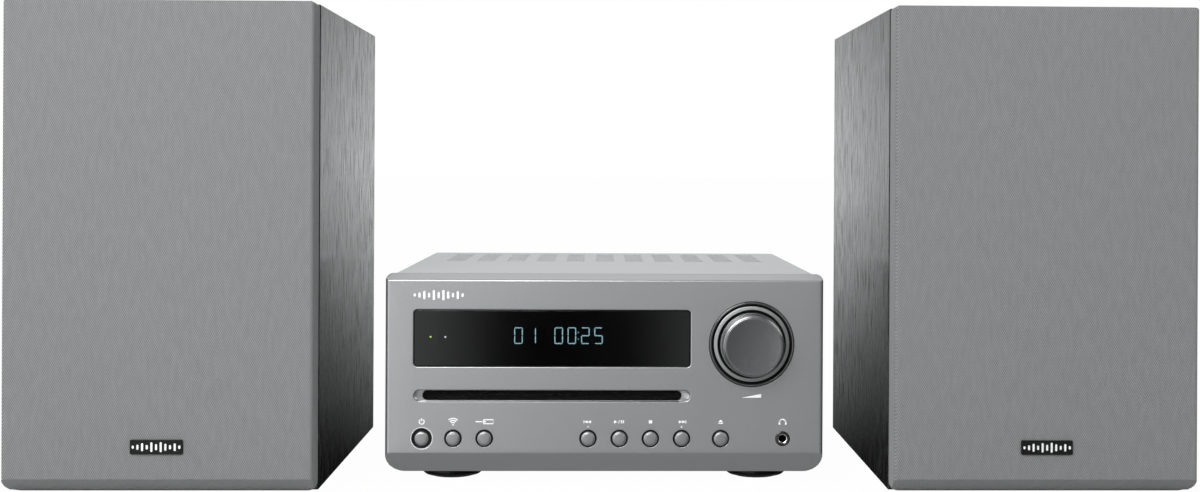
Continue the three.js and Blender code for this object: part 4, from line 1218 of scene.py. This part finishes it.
def front_light(graph, x, y, z):
    """Overhead light, and a bright and a dimmer sheet in front with a dark gap between them."""
    product, smooth = graph.product, graph.smooth
    left_sheet = smooth(x, -0.045, -0.115, 0, 1.5)
    right_sheet = product(smooth(x, 0.012, 0.06, 0, 0.9), smooth(x, 0.065, 0.18, 1, 0.3))
    sheets = graph.math("ADD", left_sheet, right_sheet)
    sheets = product(sheets, smooth(y, -0.45, -0.85, 0, 1), smooth(z, 0.3, 0.55, 1, 0.15))
    overhead = product(smooth(z, 0.15, 0.9, 0, 0.9), smooth(y, -0.5, 0.1, 0.2, 1))
    return product(graph.math("ADD", sheets, overhead), smooth(z, -0.6, -0.15, 0.2, 1))


def ambient_light(graph, y, z):
    """Faint light from everywhere but the front and low down behind, and more of it from the floor."""
    smooth = graph.smooth
    ambient = graph.math("MAXIMUM", smooth(y, 0.85, 0.97, 1, 0.1), smooth(z, -0.12, -0.02, 0, 1))
    ambient = graph.product(ambient, smooth(y, -0.97, -0.6, 0.01, 0.1))
    return graph.math("ADD", ambient, smooth(z, -0.5, -0.85, 0, 0.3))


def backdrop_light(graph, x, y, z):
    """A white backdrop, brightest at the horizon, dark below it and falling off to the sides."""
    product, straight, smooth = graph.product, graph.straight, graph.smooth
    aside = graph.math("ABSOLUTE", graph.math("ADD", x, 0.004), 0)
    outer = straight(aside, 0.118, 0.158, 0, 1)
    sunk = graph.math("SUBTRACT", z, straight(outer, 0, 1, -0.01, 0.07))
    height = product(
        straight(sunk, -0.15, 0, 0, 1.42),
        straight(z, 0, 0.12, 1, 0.42),
        straight(product(z, outer), 0, 0.07, 1, 0.82),
        smooth(aside, 0.12, 0.2, 1, 0.5),
    )
    return product(smooth(y, 0.3, 0.8, 0, 1), height)


def strip_light(graph, x, y, z):
    """A narrow upright lamp far to the left, which draws a bright line down every rounded left edge."""
    smooth = graph.smooth
    beside = smooth(x, -0.6, -0.8, 0, 1.3)
    ahead = smooth(y, -0.1, -0.3, 0, 1)
    return graph.product(beside, ahead, smooth(z, -0.3, -0.1, 0, 1), smooth(z, 0.3, 0.5, 1, 0))


def make_world():
    """A white studio: plain white to the camera, and soft boxes in the mirrors."""
    world = bpy.data.worlds.new("studio")
    bpy.context.scene.world = world
    world.use_nodes = True
    world.node_tree.nodes.clear()
    graph = Nodes(world.node_tree)
    split = graph.node("ShaderNodeSeparateXYZ")
    graph.link(graph.node("ShaderNodeTexCoord").outputs["Generated"], split.inputs["Vector"])
    x, y, z = split.outputs
    near = graph.math("ADD", front_light(graph, x, y, z), ambient_light(graph, y, z))
    far = graph.math("ADD", backdrop_light(graph, x, y, z), strip_light(graph, x, y, z))

    mirrored = graph.node("ShaderNodeBackground")
    mirrored.inputs["Color"].default_value = (0.78, 0.8, 0.806, 1)
    graph.link(graph.math("ADD", near, far), mirrored.inputs["Strength"])
    white = graph.node("ShaderNodeBackground")
    white.inputs["Color"].default_value = (1, 1, 1, 1)
    seen = graph.node("ShaderNodeLightPath").outputs["Is Camera Ray"]
    mixed = graph.blend(seen, mirrored.outputs["Background"], white.outputs["Background"])
    graph.link(mixed, graph.node("ShaderNodeOutputWorld").inputs["Surface"])


def make_lamp(name, place, power, size):
    data = bpy.data.lights.new(name, "AREA")
    data.energy = power
    data.size = size
    lamp = bpy.data.objects.new(name, data)
    bpy.context.scene.collection.objects.link(lamp)
    lamp.location = place
    lamp.rotation_euler = (Vector((0, 0, 0.1)) - Vector(place)).to_track_quat("-Z", "Y").to_euler()


def make_camera():
    """Close, level and above the receiver, with its picture shifted so that uprights stay upright."""
    data = bpy.data.cameras.new("camera")
    data.sensor_width = 36
    data.lens = LENS["focal"]
    data.shift_x = LENS["shift_x"]
    data.shift_y = LENS["shift_y"]
    camera = bpy.data.objects.new("camera", data)
    bpy.context.scene.collection.objects.link(camera)
    camera.location = Vector((EYE["x"], FACE - EYE["away"], EYE["z"])) * MM
    camera.rotation_euler = (math.pi / 2, math.radians(EYE["roll"]), math.radians(EYE["yaw"]))
    bpy.context.scene.camera = camera


make_panel()
make_window()
make_display()
make_felt()
make_volume_ring()
make_knob()
make_buttons()
make_phones_jack()
make_icons()
make_feet()
make_screws()
make_sockets()
make_grilles()
make_badges()
make_ports()
make_cones()
make_surrounds()
dress_cad_nodes()
make_floor()
make_flags()
make_world()
for lamp in LAMPS:
    make_lamp(*lamp)
make_camera()
bpy.context.scene.view_settings.view_transform = "Standard"
